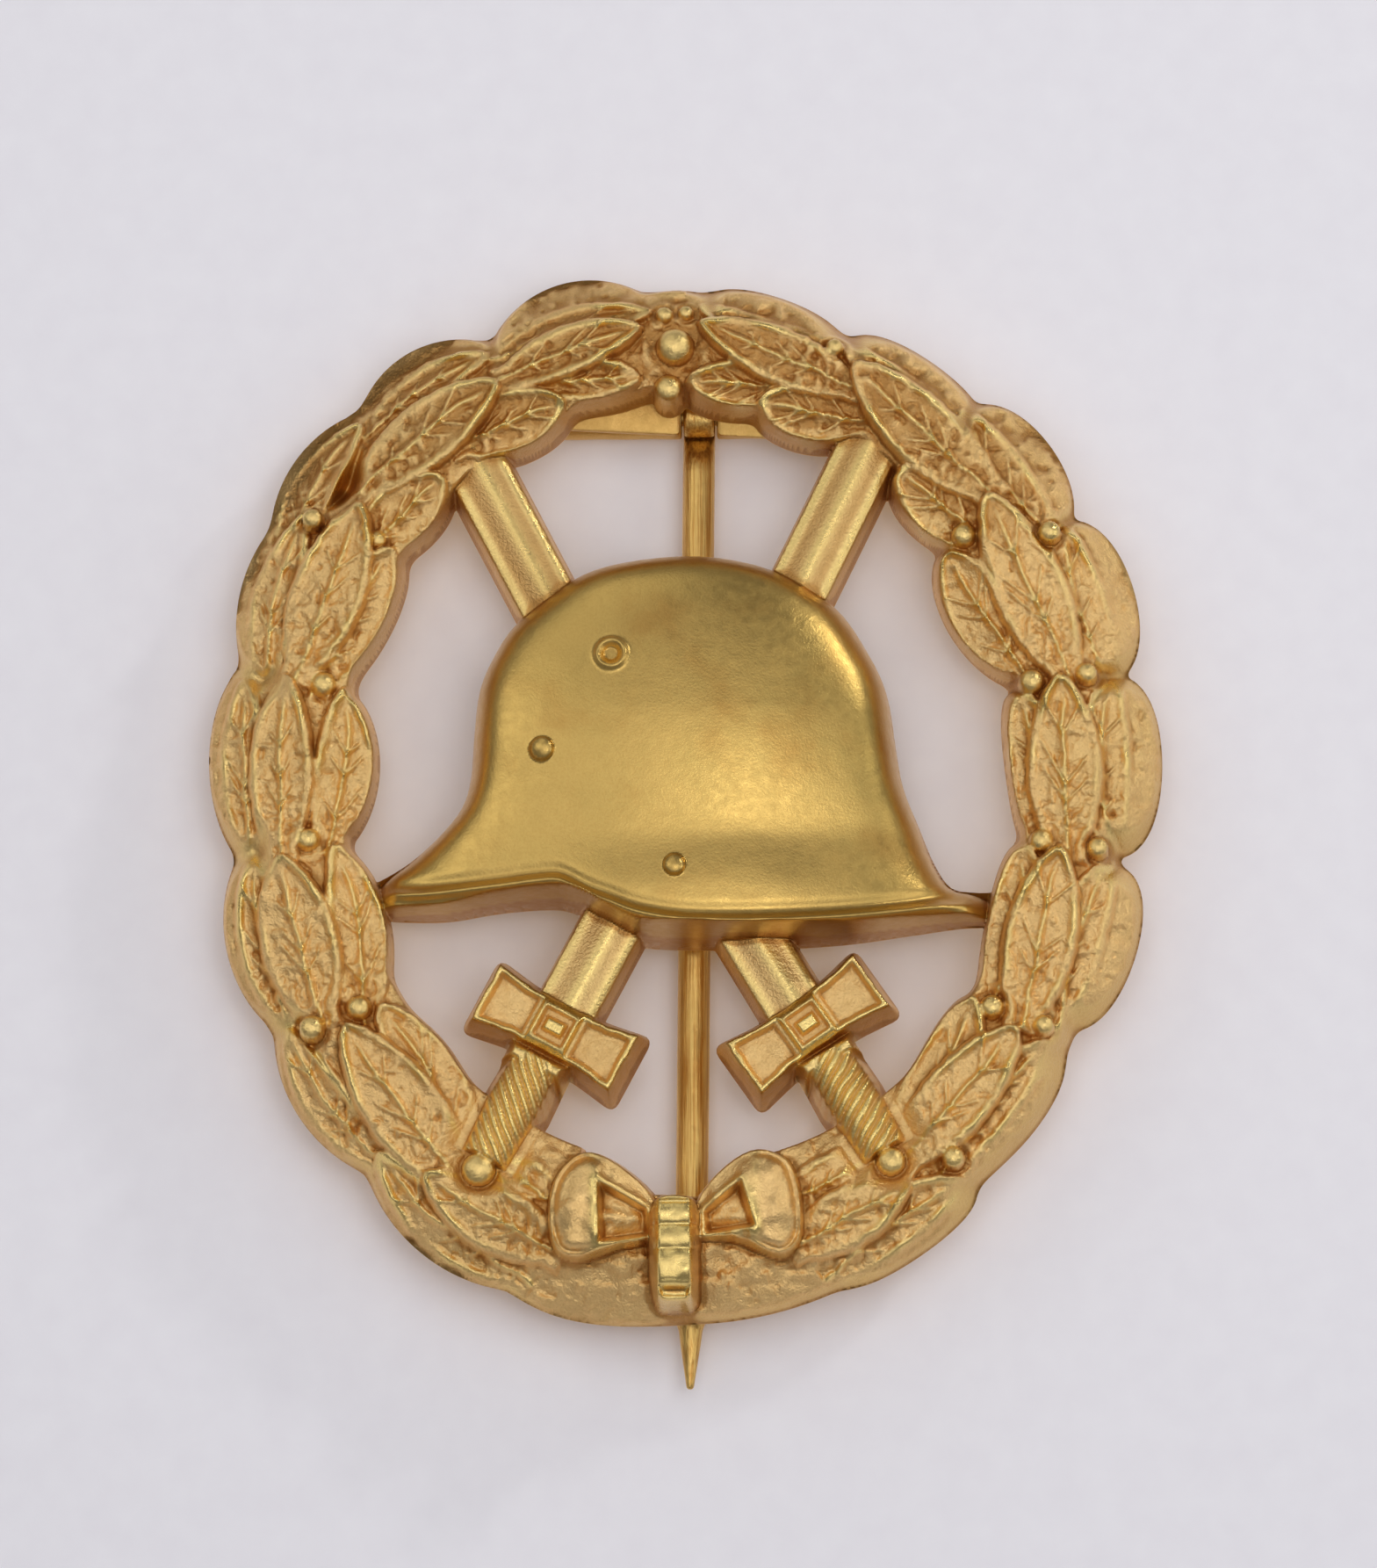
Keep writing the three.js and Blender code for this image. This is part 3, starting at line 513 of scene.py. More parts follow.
def helmet():
    """The dome, its rolled brim, two rivets and the lug."""
    part = Part()
    upper = rounded(HELMET["upper"], closed=False)
    lower = rounded(HELMET["lower"], closed=False)
    brim = rounded(HELMET["brim"], closed=False)
    where = around(upper, 5)
    x, y = X[where], Y[where]
    inside = outline_distance(np.vstack([upper, lower]), x, y)
    sign = np.sign(inside)
    from_top = sign * curve_distance(upper, x, y)
    from_foot = sign * curve_distance(lower, x, y)
    above = y - np.interp(x, brim[:, 0], brim[:, 1])

    tips = step(7.5, 12.5, np.abs(x + 0.4)) * step(0, -4, y)
    bead = HELMET["bead"] * line(above - 0.14, 0.22) - 0.1 * line(above - 0.65, 0.25)
    bead *= step(13.0, 11.0, np.abs(x + 0.4))
    face = helmet_face(x, y, from_top, tips) + bead
    face -= HELMET["tips_dive"] * step(11.8, 13.4, np.abs(x + 0.2))
    foot = wall(from_foot + 0.02, *HELMET["foot_wall"]) - 0.5 * tips
    top = wall(from_top + 0.02, *HELMET["top_wall"])
    height = soft_min(soft_min(face, foot, 0.15), top, 0.1)
    for rx, ry, radius in HELMET["rivets"]:
        reach = np.hypot(x - rx, y - ry)
        height += 0.7 * ball(radius, reach) * step(radius, 0.85 * radius, reach)
    lug_x, lug_y, lug_radius = HELMET["lug"]
    reach = np.hypot(x - lug_x, y - lug_y)
    height += 0.2 * line(reach - lug_radius, 0.15) - 0.1 * step(0.38, 0.26, reach)
    height += 0.015 * noise(1.8, 20)[where] + 0.003 * noise(0.4, 21)[where]

    part.inside[where] = inside
    part.height[where] = height
    part.polish[where] = 0.75 + 0.15 * step(0.1, 0.6, bead / HELMET["bead"])
    # Painted shade: the underside of the brim, and a band along the dome's upper edge, are painted darker.
    under = step(0.0, -0.35, above) * step(12.5, 10.5, np.abs(x))
    part.tone[where] = 0.6 * under + 0.35 * step(1.0, 0.2, from_top) * step(2, 6, y)
    return part


# ------------------------------------------------------------------ swords

BLADE = {
    "rim": 1.53,  # half width at the back rim
    "face": 1.13,  # half width of the face
    "height": 1.85,
    "ridge": 0.5,
    "lean": 0.3,  # of its side walls
    "end_wall": (2.6, 0.5),  # height and lean
    "darken": 0.65,  # how much darker the upper blades are painted
}
# Root in the helmet, lean in degrees, reach, and how far the ridge is off the middle.
UPPER_BLADES = {
    "blade_upper_left": ((-5.0, 6.6), 27.5, 9.6, 0.12),
    "blade_upper_right": ((4.0, 7.1), -26.0, 9.4, 0.05),
}
HILT = {
    "guard": [(3.65, 1.78), (1.6, 1.45), (-1.6, 1.45), (-3.65, 1.78),
              (-3.65, -1.78), (-1.6, -1.45), (1.6, -1.45), (3.65, -1.78)],
    "guard_height": 2.4,
    "guard_corner": 0.5,
    "guard_slope": 0.42,  # width of the slanted walls round the guard
    "arm": (0.26, 1.1),  # how deep an arm's face is sunk, and where it starts
    "boss": 0.92,  # half width of the square frame in the guard's middle
    "block": (0.44, 0.3),  # half width and half height of the raised block in it
    "blade_to": 5.2,
    "ridge_at": 0.12,
    "collar": (1.2, 0.3),  # half width and half height
    "collar_at": 0.42,  # below the grip's start
    "collar_height": 2.35,
    "grip_from": -1.2,
    "grip_to": -6.3,
    "grip_half": 1.5,
    "cord_pitch": 0.5,
    "pommel_at": -6.7,
    "pommel_height": 2.1,  # of its rim
    "polish": 0.6,  # of the collar and the pommel
}
# Centre, lean of the blade, lean of the guard, how the cord slants across the grip, pommel radius.
HILTS = {
    "hilt_lower_left": ((-5.45, -10.1), -28.0, -28.0, -0.95, 0.8),
    "hilt_lower_right": ((5.07, -10.0), 31.0, 35.0, 0.6, 0.7),
}


def sword_axes(where, centre, lean):
    """How far each point is to a sword's right, and how far up it."""
    angle = math.radians(lean)
    x, y = X[where] - centre[0], Y[where] - centre[1]
    return x * math.cos(angle) + y * math.sin(angle), y * math.cos(angle) - x * math.sin(angle)


def blade_relief(right, ridge_at):
    """A blade's height and polish across its width."""
    side = np.hypot(right - ridge_at, 0.2) / BLADE["face"]
    face = BLADE["height"] + BLADE["ridge"] * np.clip(1 - side, 0, 1)
    face += 0.1 * line(np.abs(right) - BLADE["face"] + 0.1, 0.22)
    inside = BLADE["rim"] - np.abs(right)
    walls = wall(inside, BLADE["height"] + 0.1, BLADE["lean"], 1.4, 1.0, 0.2)
    polish = 0.6 * line(right - ridge_at, 0.35) + 0.55 * line(np.abs(right) - BLADE["face"] + 0.08, 0.3)
    return soft_min(face, walls, 0.16), np.clip(0.15 + polish, 0, 1)


def upper_blade(root, lean, reach, ridge_at):
    """A blade's end, from its root behind the helmet to the wreath."""
    part = Part()
    angle = math.radians(lean)
    end = (root[0] - reach * math.sin(angle), root[1] + reach * math.cos(angle))
    where = around([root, end], 3)
    right, up = sword_axes(where, root, lean)
    part.inside[where] = np.minimum(BLADE["rim"] - np.abs(right), np.minimum(up, reach - up))
    height, polish = blade_relief(right, ridge_at)
    part.height[where] = np.minimum(height, wall(reach - up, *BLADE["end_wall"]))
    part.polish[where] = polish
    # The upper blades are painted darker all over.
    part.tone[where] = BLADE["darken"]
    return part


def guard_relief(where, right, up):
    """The cross guard: two flared arms with sunk faces, and a square boss between them."""
    inside = outline_distance(cut_corners(HILT["guard"], HILT["guard_corner"]), right, up)
    slope = HILT["guard_slope"] + 0.04 * UNEVEN_FINE[where]
    top = HILT["guard_height"] + 0.1 * line(inside - slope - 0.1, 0.12)
    depth, start = HILT["arm"]
    sunk = np.minimum(inside - slope - 0.24, np.abs(right) - start)
    top -= depth * step(-0.06, 0.12, sunk) - 0.04 * UNEVEN_FINE[where] * step(0, 0.2, sunk)
    boss = inside_box(right, up, HILT["boss"], HILT["boss"])
    top += 0.34 * step(-0.03, 0.12, boss)
    top -= 0.32 * step(0.2, 0.34, boss)
    block = inside_box(right, up, *HILT["block"])
    top += 0.3 * step(-0.05, 0.1, block)
    walls = wall(inside, HILT["guard_height"] + 0.1, slope, 1.15, 0.6, slope)
    bright = line(inside - slope - 0.06, 0.14) + line(boss - 0.1, 0.12) + step(-0.05, 0.1, block)
    return inside, soft_min(top, walls, 0.1), np.clip(0.2 + 0.7 * bright, 0, 1)


def merge(part, where, inside, height, polish, radius=0.08):
    """Adds a shape to a part where it stands higher."""
    inside = np.clip(inside, FAR, None)
    raised = np.where(inside > -1.0, height, FAR)
    higher = raised > part.height[where]
    part.polish[where] = np.where(higher, polish, part.polish[where])
    part.height[where] = soft_max(part.height[where], raised, radius)
    part.inside[where] = np.maximum(part.inside[where], inside)


def hilt(centre, lean, guard_lean, slant, pommel):
    """A stretch of blade, the cross guard, the corded grip with its collar, and the pommel."""
    part = Part()
    where = around([centre], 9)
    right, up = sword_axes(where, centre, lean)
    height, polish = blade_relief(right, HILT["ridge_at"])
    inside = np.minimum(BLADE["rim"] - np.abs(right), np.minimum(up, HILT["blade_to"] - up))
    merge(part, where, inside, height, polish)

    down = HILT["grip_from"] - up
    share = np.clip(down / (HILT["grip_from"] - HILT["grip_to"]), 0, 1)
    half = HILT["grip_half"] - 0.25 * np.abs(share - 0.45)
    round_top = ball(1, right / (half + 0.02))
    turns = (down + slant * right + 0.12 * UNEVEN[where]) / HILT["cord_pitch"]
    cord = np.abs(np.sin(math.pi * turns)) ** 0.7
    grip = 1.0 + 1.75 * round_top + 0.26 * (cord - 0.6) * step(0.1, 0.5, round_top)
    grip = np.minimum(grip, wall(half - np.abs(right), 4.0, 0.9, 1.3))
    from_end = np.minimum(down, up - HILT["grip_to"])
    grip = np.minimum(grip, 4.5 * (0.4 + from_end))
    inside = np.minimum(half - np.abs(right), from_end)
    merge(part, where, inside, grip, np.clip(0.15 + 0.7 * cord * round_top, 0, 1), 0.04)
    collar = inside_box(right, down - HILT["collar_at"], *HILT["collar"])
    merge(part, where, collar, HILT["collar_height"] + wall(collar, 0.3, 0.2), HILT["polish"])

    across, along = sword_axes(where, centre, guard_lean)
    merge(part, where, *guard_relief(where, across, along))

    reach = np.hypot(right, up - HILT["pommel_at"])
    inside = pommel - reach
    height = np.minimum(HILT["pommel_height"] + 0.95 * ball(pommel, reach), wall(inside, 4, 0.3))
    merge(part, where, inside, height, HILT["polish"])
    return part


# ------------------------------------------------------------------ bow

BOW = {
    "loops": [
        [(-1.0, -17.3), (-1.1, -19.1), (-2.6, -19.6), (-4.4, -20.1), (-5.6, -19.6), (-5.95, -17.8),
         (-5.5, -16.1), (-4.2, -15.1), (-2.6, -15.65)],
        [(0.2, -17.4), (1.5, -15.75), (3.0, -15.0), (4.5, -15.6), (5.1, -17.4), (5.0, -19.2),
         (3.9, -20.0), (1.9, -19.3), (0.2, -19.2)],
    ],
    "pockets": [
        [(-3.6, -16.7), (-3.5, -19.2), (-1.5, -18.9), (-1.6, -17.8)],
        [(2.3, -16.7), (2.9, -18.6), (0.9, -18.8), (0.8, -17.9)],
    ],
    "fold_at": [-3.75, 2.9],  # where each loop bends back, from its band to its inside
    "loop_height": 3.3,
    "loop_wall": (4.0, 0.5),  # height and lean
    "pocket_depth": 0.55,
    "creases": (-17.6, -18.5, -18.05),  # of the band's ridge and groove, and of the pocket's ridge
    "knot": [(-1.65, -17.5), (-1.7, -19.9), (-1.4, -21.7), (-0.45, -22.0), (0.6, -21.7),
             (0.8, -19.9), (0.8, -17.5), (-0.45, -16.95)],
    "knot_middle": (-1.18, 0.34),
    "knot_wall": (3.75, 0.45),
    "bands": [-17.0, -17.6, -18.55, -19.55, -20.85],  # the bands puff up between these heights
    "dent": (-21.8, -20.95),
    "dent_depth": 0.5,
    # how strongly painted shade darkens the dent
    "dent_shade": 0.8,
}


def loop_relief(outline, pocket, fold_at, where):
    """A loop of the ribbon: its outer band rolls over, and its inside sinks round a hollow."""
    x, y = X[where], Y[where]
    inside = outline_distance(outline, x, y)
    away = np.where(x < 0, -1, 1) * (x - fold_at)
    hollow = outline_distance(np.array(pocket), x, y)
    level = BOW["loop_height"] + 0.5 * step(0.0, 1.5, inside) - 0.35 * step(0.2, -2.2, away)
    # Across the band: a flange along its outer edge, then two soft facets.
    flange = step(-0.3, 0.6, away)
    level += 0.14 * line(inside - 0.2, 0.17) - 0.24 * line(inside - 0.5, 0.16) * flange
    level += 0.18 * line(away + 0.05, 0.3) * step(-15.6, -16.8, y)
    ridge, groove, pocket_ridge = BOW["creases"]
    level += 0.16 * line(y + 0.25 * away - ridge, 0.4) * step(0.3, 0.9, away)
    level -= 0.1 * line(y + 0.25 * away - groove, 0.3) * step(0.0, 0.5, away)
    level += 0.12 * line(hollow + 0.14, 0.16)
    level -= BOW["pocket_depth"] * step(-0.06, 0.24, hollow)
    level += 0.14 * line(y - pocket_ridge - 0.1 * away, 0.25) * step(0.1, 0.35, hollow)
    level += 0.07 * UNEVEN[where] + 0.06 * UNEVEN_FINE[where] + 0.03 * CREASES[where]
    bright = 0.1 + 0.5 * line(inside - 0.2, 0.2) + 0.45 * line(hollow + 0.14, 0.2) + 0.3 * line(away, 0.3)
    return inside, soft_min(level, wall(inside, *BOW["loop_wall"], 1.4), 0.3), np.clip(bright, 0, 1)


def bow():
    """The ribbon's two loops and the puckered knot between them."""
    part = Part()
    for loop, pocket, fold_at in zip(BOW["loops"], BOW["pockets"], BOW["fold_at"]):
        outline = rounded(loop)
        where = around(outline, 2.5)
        merge(part, where, *loop_relief(outline, pocket, fold_at, where), 0.15)

    outline = rounded(BOW["knot"])
    where = around(outline, 2.5)
    x, y = X[where], Y[where]
    inside = outline_distance(outline, x, y)
    top = wall(inside, *BOW["knot_wall"], 1.5)
    # The middle of the knot stands up between two flanges, and puckers into bands.
    middle = np.minimum(x - BOW["knot_middle"][0], BOW["knot_middle"][1] - x)
    top += 0.3 * step(-0.05, 0.14, middle) - 0.12 * line(middle + 0.12, 0.12)
    bands = BOW["bands"]
    for low, high in zip(bands[1:], bands[:-1]):
        share = np.clip((y - low) / (high - low), 0, 1)
        here = step(low - 0.05, low + 0.05, y) * step(high + 0.05, high - 0.05, y)
        top += 0.2 * here * np.clip(1 - (2 * share - 1) ** 2, 0, 1) ** 0.7
    dent = np.minimum(middle, np.minimum(y - BOW["dent"][0], BOW["dent"][1] - y))
    top -= BOW["dent_depth"] * step(-0.05, 0.35, dent)
    top += 0.05 * UNEVEN[where] + 0.04 * UNEVEN_FINE[where]
    merge(part, where, inside, top, 0.3 + 0.6 * step(-0.1, 0.1, middle), 0.12)
    # Painted shade in the dent at the foot of the knot.
    part.tone[where] = BOW["dent_shade"] * step(-0.05, 0.2, dent)
    return part


# ------------------------------------------------------------------ the sheet

SHEET = {
    "thickness": 0.7,
    "rim": 0.12,  # height of the cut edge that shows under the rounded one
    "flat": 0.62,  # width of the flat back rim
    "least": 0.35,  # the least thickness, behind a deep groove
    "back_blur": 0.45,  # the back's relief is softer than the face's
    "back_slope": 2.2,  # of the walls of the hollow
    "back_block": 2,  # the back's faces are this many times the grid's spacing
    "back_look": 0.4,  # the back's polish, hollow and steepness
    # The wreath dips to this height where a hilt or the bow lies over it.
    "dips": {"hilt_lower_left": 2.05, "hilt_lower_right": 2.05, "ribbon_bow": 2.5},
    "crown": (-4.2, 3.4),  # the crown's berries lie between these angles, clockwise from the top
}


def blurred(field, radius):
    """A field with everything finer than about radius mm smoothed away."""
    reach = max(1, int(round(radius / SPACING)))
    for _ in range(2):
        for axis in (0, 1):
            padded = np.pad(field, [(reach + 1, reach) if a == axis else (0, 0) for a in (0, 1)], "edge")
            total = np.cumsum(padded, axis=axis)
            ahead = np.take(total, range(2 * reach + 1, total.shape[axis]), axis=axis)
            behind = np.take(total, range(total.shape[axis] - 2 * reach - 1), axis=axis)
            field = (ahead - behind) / (2 * reach + 1)
    return field


def struck_sheet():
    """All the raised parts together, and the name of the one on top at each point."""
    whole = wreath()
    owner = np.full(X.shape, "wreath", dtype="U20")
    raised = {name: upper_blade(*values) for name, values in UPPER_BLADES.items()}
    raised.update({name: hilt(*values) for name, values in HILTS.items()})
    raised.update(ribbon_bow=bow(), helmet=helmet())
    for name, part in raised.items():
        if name in SHEET["dips"]:
            room = SHEET["dips"][name] + 0.9 * np.clip(-part.inside, 0, None)
            whole.height = soft_min(whole.height, room, 0.3)
        on_top = blurred(((part.height > whole.height) & (part.inside > 0)).astype(float), 0.15) > 0.5
        owner[on_top] = name
        higher = part.height > whole.height
        whole.polish = np.where(higher, part.polish, whole.polish)
        whole.tone = np.where(higher, part.tone, whole.tone)
        whole.height = soft_max(whole.height, part.height, 0.1)
        whole.inside = np.maximum(whole.inside, part.inside)
    return whole, owner, list(raised)


def back_heights(sheet):
    """The sheet's back: hollow behind the relief, with a flat rim all round."""
    solid = np.where(sheet.inside > 0, np.maximum(sheet.height, 0), 0)
    soft = blurred(solid, SHEET["back_blur"])
    hollow = np.minimum(soft - SHEET["thickness"], SHEET["back_slope"] * (sheet.inside - SHEET["flat"]))
    room = np.clip(solid - SHEET["least"], 0, None)
    rounded_off = blurred(np.clip(np.minimum(hollow, room), 0, None), 0.2)
    return np.minimum(rounded_off * step(0.1, 0.5, sheet.inside), room)


def in_frame(x, y, z):
    """Face-on millimetres as points of the frame, in metres."""
    return np.stack([x, -z, y], axis=-1) * MM


def boundary_edges(cells):
    """The edges round a region of grid cells, as pairs of (row, column), with the region to their left."""
    rows, columns = cells.shape
    framed = np.pad(cells, 1)
    found = []
    for (di, dj), start, end in (
        ((-1, 0), (0, 0), (0, 1)), ((0, 1), (0, 1), (1, 1)),
        ((1, 0), (1, 1), (1, 0)), ((0, -1), (1, 0), (0, 0)),
    ):
        empty = ~framed[1 + di:1 + di + rows, 1 + dj:1 + dj + columns]
        i, j = np.nonzero(cells & empty)
        found.append(np.stack([i + start[0], j + start[1], i + end[0], j + end[1]], axis=1))
    return np.concatenate(found)


def normals_of(height, way):
    """The surface's normals at the grid's points, towards the face (1) or the back (-1)."""
    up, right = np.gradient(np.maximum(height, -3), SPACING)
    normal = in_frame(-right, -up, np.ones_like(height)) / MM * way
    return normal / np.linalg.norm(normal, axis=-1, keepdims=True)


class Skin:
    """The points, normals and looks that all the sheet's pieces share: first the face's, then the back's."""

    def __init__(self, sheet):
        inside = sheet.inside
        self.cells = inside[:-1, :-1] + inside[1:, :-1] + inside[:-1, 1:] + inside[1:, 1:] > 0
        edges = boundary_edges(self.cells)
        on_edge = np.zeros(X.shape, bool)
        on_edge[edges[:, 0], edges[:, 1]] = True

        # Points on the outline's edge move onto it exactly.
        up, right = np.gradient(inside, SPACING)
        reach = np.clip(inside, -SPACING, SPACING) / np.maximum(up**2 + right**2, 0.25)
        x = np.where(on_edge, X - reach * right, X)
        y = np.where(on_edge, Y - reach * up, Y)
        front = np.where(on_edge, SHEET["rim"], np.maximum(sheet.height, SHEET["rim"]))
        back = np.where(on_edge, 0, back_heights(sheet))
        self.points = np.concatenate([in_frame(x, y, z).reshape(-1, 3) for z in (front, back)])
        front_normals = normals_of(sheet.height, 1)
        self.normals = np.concatenate([front_normals.reshape(-1, 3), normals_of(back, -1).reshape(-1, 3)])

        # Painted shade: hollow is high in the relief's recesses and where the parts are painted darker, and
        # steep on walls that turn away from the face; the gilding darkens both.
        level = np.where(inside > 0, np.maximum(sheet.height, 0), 0)
        looks = {
            "polish": sheet.polish,
            "hollow": np.clip((blurred(level, 0.3) - level) / 0.2 + sheet.tone, -1, 1),
            "steep": step(0.85, 0.25, -blurred(front_normals[..., 1], 0.15)),
        }
        plain = np.full(X.size, SHEET["back_look"])
        self.looks = {name: np.append(values, plain) for name, values in looks.items()}


def coarser(faces, cells, block):
    """A region's faces, as quads and triangles, with the grid's blocks inside it shrunk to one point each."""
    interior = np.zeros(X.shape, bool)
    interior[1:-1, 1:-1] = cells[1:, 1:] & cells[:-1, 1:] & cells[1:, :-1] & cells[:-1, :-1]
    rows, columns = (n // block * block for n in X.shape)
    whole = interior[:rows, :columns].reshape(rows // block, block, columns // block, block).all(axis=(1, 3))
    merged = np.zeros(X.shape, bool)
    merged[:rows, :columns] = np.repeat(np.repeat(whole, block, axis=0), block, axis=1)
    i, j = (np.where(merged, n // block * block + block // 2, n) for n in np.indices(X.shape))
    faces = (i * X.shape[1] + j).ravel()[faces]
    differs = faces != np.roll(faces, 1, axis=1)
    three = differs.sum(axis=1) == 3
    return faces[differs.all(axis=1)], faces[three][differs[three]].reshape(-1, 3)


def link(name, data):
    """A new object in the scene."""
    made = bpy.data.objects.new(name, data)
    bpy.context.scene.collection.objects.link(made)
    return made


def sheet_mesh(name, skin, cells):
    """One closed mesh of the sheet: its face, its back and the walls between them."""
    count = X.size
    width = X.shape[1]
    i, j = np.nonzero(cells)
    corner = i * width + j
    face = np.stack([corner, corner + 1, corner + width + 1, corner + width], axis=1)
    edges = boundary_edges(cells)
    start, end = edges[:, 0] * width + edges[:, 1], edges[:, 2] * width + edges[:, 3]
    walls = np.stack([start, start + count, end + count, end], axis=1)
    quads, triangles = coarser(face[:, ::-1], cells, SHEET["back_block"])

    polygons = [face, walls, quads + count, triangles + count]
    corners = np.concatenate([p.ravel() for p in polygons])
    sizes = np.concatenate([np.full(len(p), p.shape[1]) for p in polygons])
    used, loops = np.unique(corners, return_inverse=True)
    mesh = bpy.data.meshes.new(name)
    mesh.vertices.add(len(used))
    mesh.vertices.foreach_set("co", skin.points[used].ravel())
    mesh.loops.add(len(loops))
    mesh.loops.foreach_set("vertex_index", loops)
    mesh.polygons.add(len(sizes))
    mesh.polygons.foreach_set("loop_start", np.concatenate([[0], np.cumsum(sizes)[:-1]]))
    mesh.polygons.foreach_set("use_smooth", np.ones(len(sizes), bool))
    mesh.update(calc_edges=True)

    along = skin.points[end] - skin.points[start]
    outward = np.stack([along[:, 2], np.zeros(len(along)), -along[:, 0]], axis=1)
    outward /= np.maximum(np.linalg.norm(outward, axis=1, keepdims=True), 1e-12)
    normals = skin.normals[corners]
    normals[4 * len(face):4 * (len(face) + len(walls))] = np.repeat(outward, 4, axis=0)
    mesh.normals_split_custom_set(normals)
    for field, values in skin.looks.items():
        mesh.attributes.new(field, "FLOAT", "POINT").data.foreach_set("value", values[used])
    return mesh


def build_sheet():
    """Cuts the sheet into the pieces that replace its CAD nodes."""
    sheet, owner, raised = struck_sheet()
    skin = Skin(sheet)
    turn = np.degrees(np.arctan2(X, Y))
    crown = (turn > SHEET["crown"][0]) & (turn < SHEET["crown"][1])
    laurel = owner == "wreath"
    regions = {
        "laurel_branch_left": laurel & (X < 0) & ~crown,
        "laurel_branch_right": laurel & (X >= 0) & ~crown,
        "crown_berries": laurel & crown,
    }
    regions.update({name: owner == name for name in raised})
    finishes = {"helmet": ("burnished_gilt", "burnished_gilt"), "ribbon_bow": ("burnished_gilt", "ribbon")}
    for name, region in regions.items():
        slot, finish = finishes.get(name, ("gilt", "gilt"))
        mesh = sheet_mesh("struck_" + name, skin, skin.cells & region[:-1, :-1])
        mesh.materials.append(MATERIALS[finish])
        piece = link("struck_" + name, mesh)
        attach(piece, "badge")
        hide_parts(name)


# ------------------------------------------------------------------ materials


def feed(tree, value, socket):
    """Gives a socket its value: another socket, a colour, or anything else that it holds."""
    if isinstance(value, bpy.types.NodeSocket):
        tree.links.new(value, socket)
    elif socket.type == "RGBA":
        socket.default_value = (*value, 1)
    else:
        socket.default_value = value


def node(tree, kind, **settings):
    """A new node, with settings for its sockets and its own fields."""
    made = tree.nodes.new(kind)
    for key, value in settings.items():
        if key in made.inputs:
            feed(tree, value, made.inputs[key])
        else:
            setattr(made, key, value)
    return made


def mixed(tree, share, low, high, colours=False):
    """Mixes two numbers or colours by a share. Each of the three may be a socket."""
    mix = node(tree, "ShaderNodeMix", data_type="RGBA" if colours else "FLOAT")
    first = 6 if colours else 2
    for i, value in ((0, share), (first, low), (first + 1, high)):
        feed(tree, value, mix.inputs[i])
    return mix.outputs[2 if colours else 0]


def ranged(tree, value, low, high, out_low=0.0, out_high=1.0):
    """Maps a socket's values from low to high onto those from out_low to out_high, smoothly."""
    made = node(tree, "ShaderNodeMapRange", interpolation_type="SMOOTHSTEP")
    for key, number in (("Value", value), ("From Min", low), ("From Max", high),
                        ("To Min", out_low), ("To Max", out_high)):
        feed(tree, number, made.inputs[key])
    return made.outputs["Result"]


def cloud(tree, place, size_mm, detail=3.0, roughness=0.5):
    """Noise whose bumps are about size_mm across."""
    scale = 1 / (size_mm * MM)
    made = node(tree, "ShaderNodeTexNoise", Scale=scale, Detail=detail, Roughness=roughness, Vector=place)
    return made.outputs["Fac"]


def object_place(tree):
    return node(tree, "ShaderNodeTexCoord").outputs["Object"]


GOLD = {
    "frosted": (0.96, 0.645, 0.265),
    "burnished": (0.83, 0.57, 0.17),
    "ridge": (0.93, 0.7, 0.25),
    "satin": (0.68, 0.445, 0.125),
    "satin_bright": (0.69, 0.465, 0.135),
    "drawn": (0.72, 0.44, 0.14),
    # A dark brown, for real stains and specks, and for painted shade in hollows and on walls that turn away.
    "toning_and_shade": (0.46, 0.205, 0.042),
    "olive": (0.58, 0.42, 0.12),
}


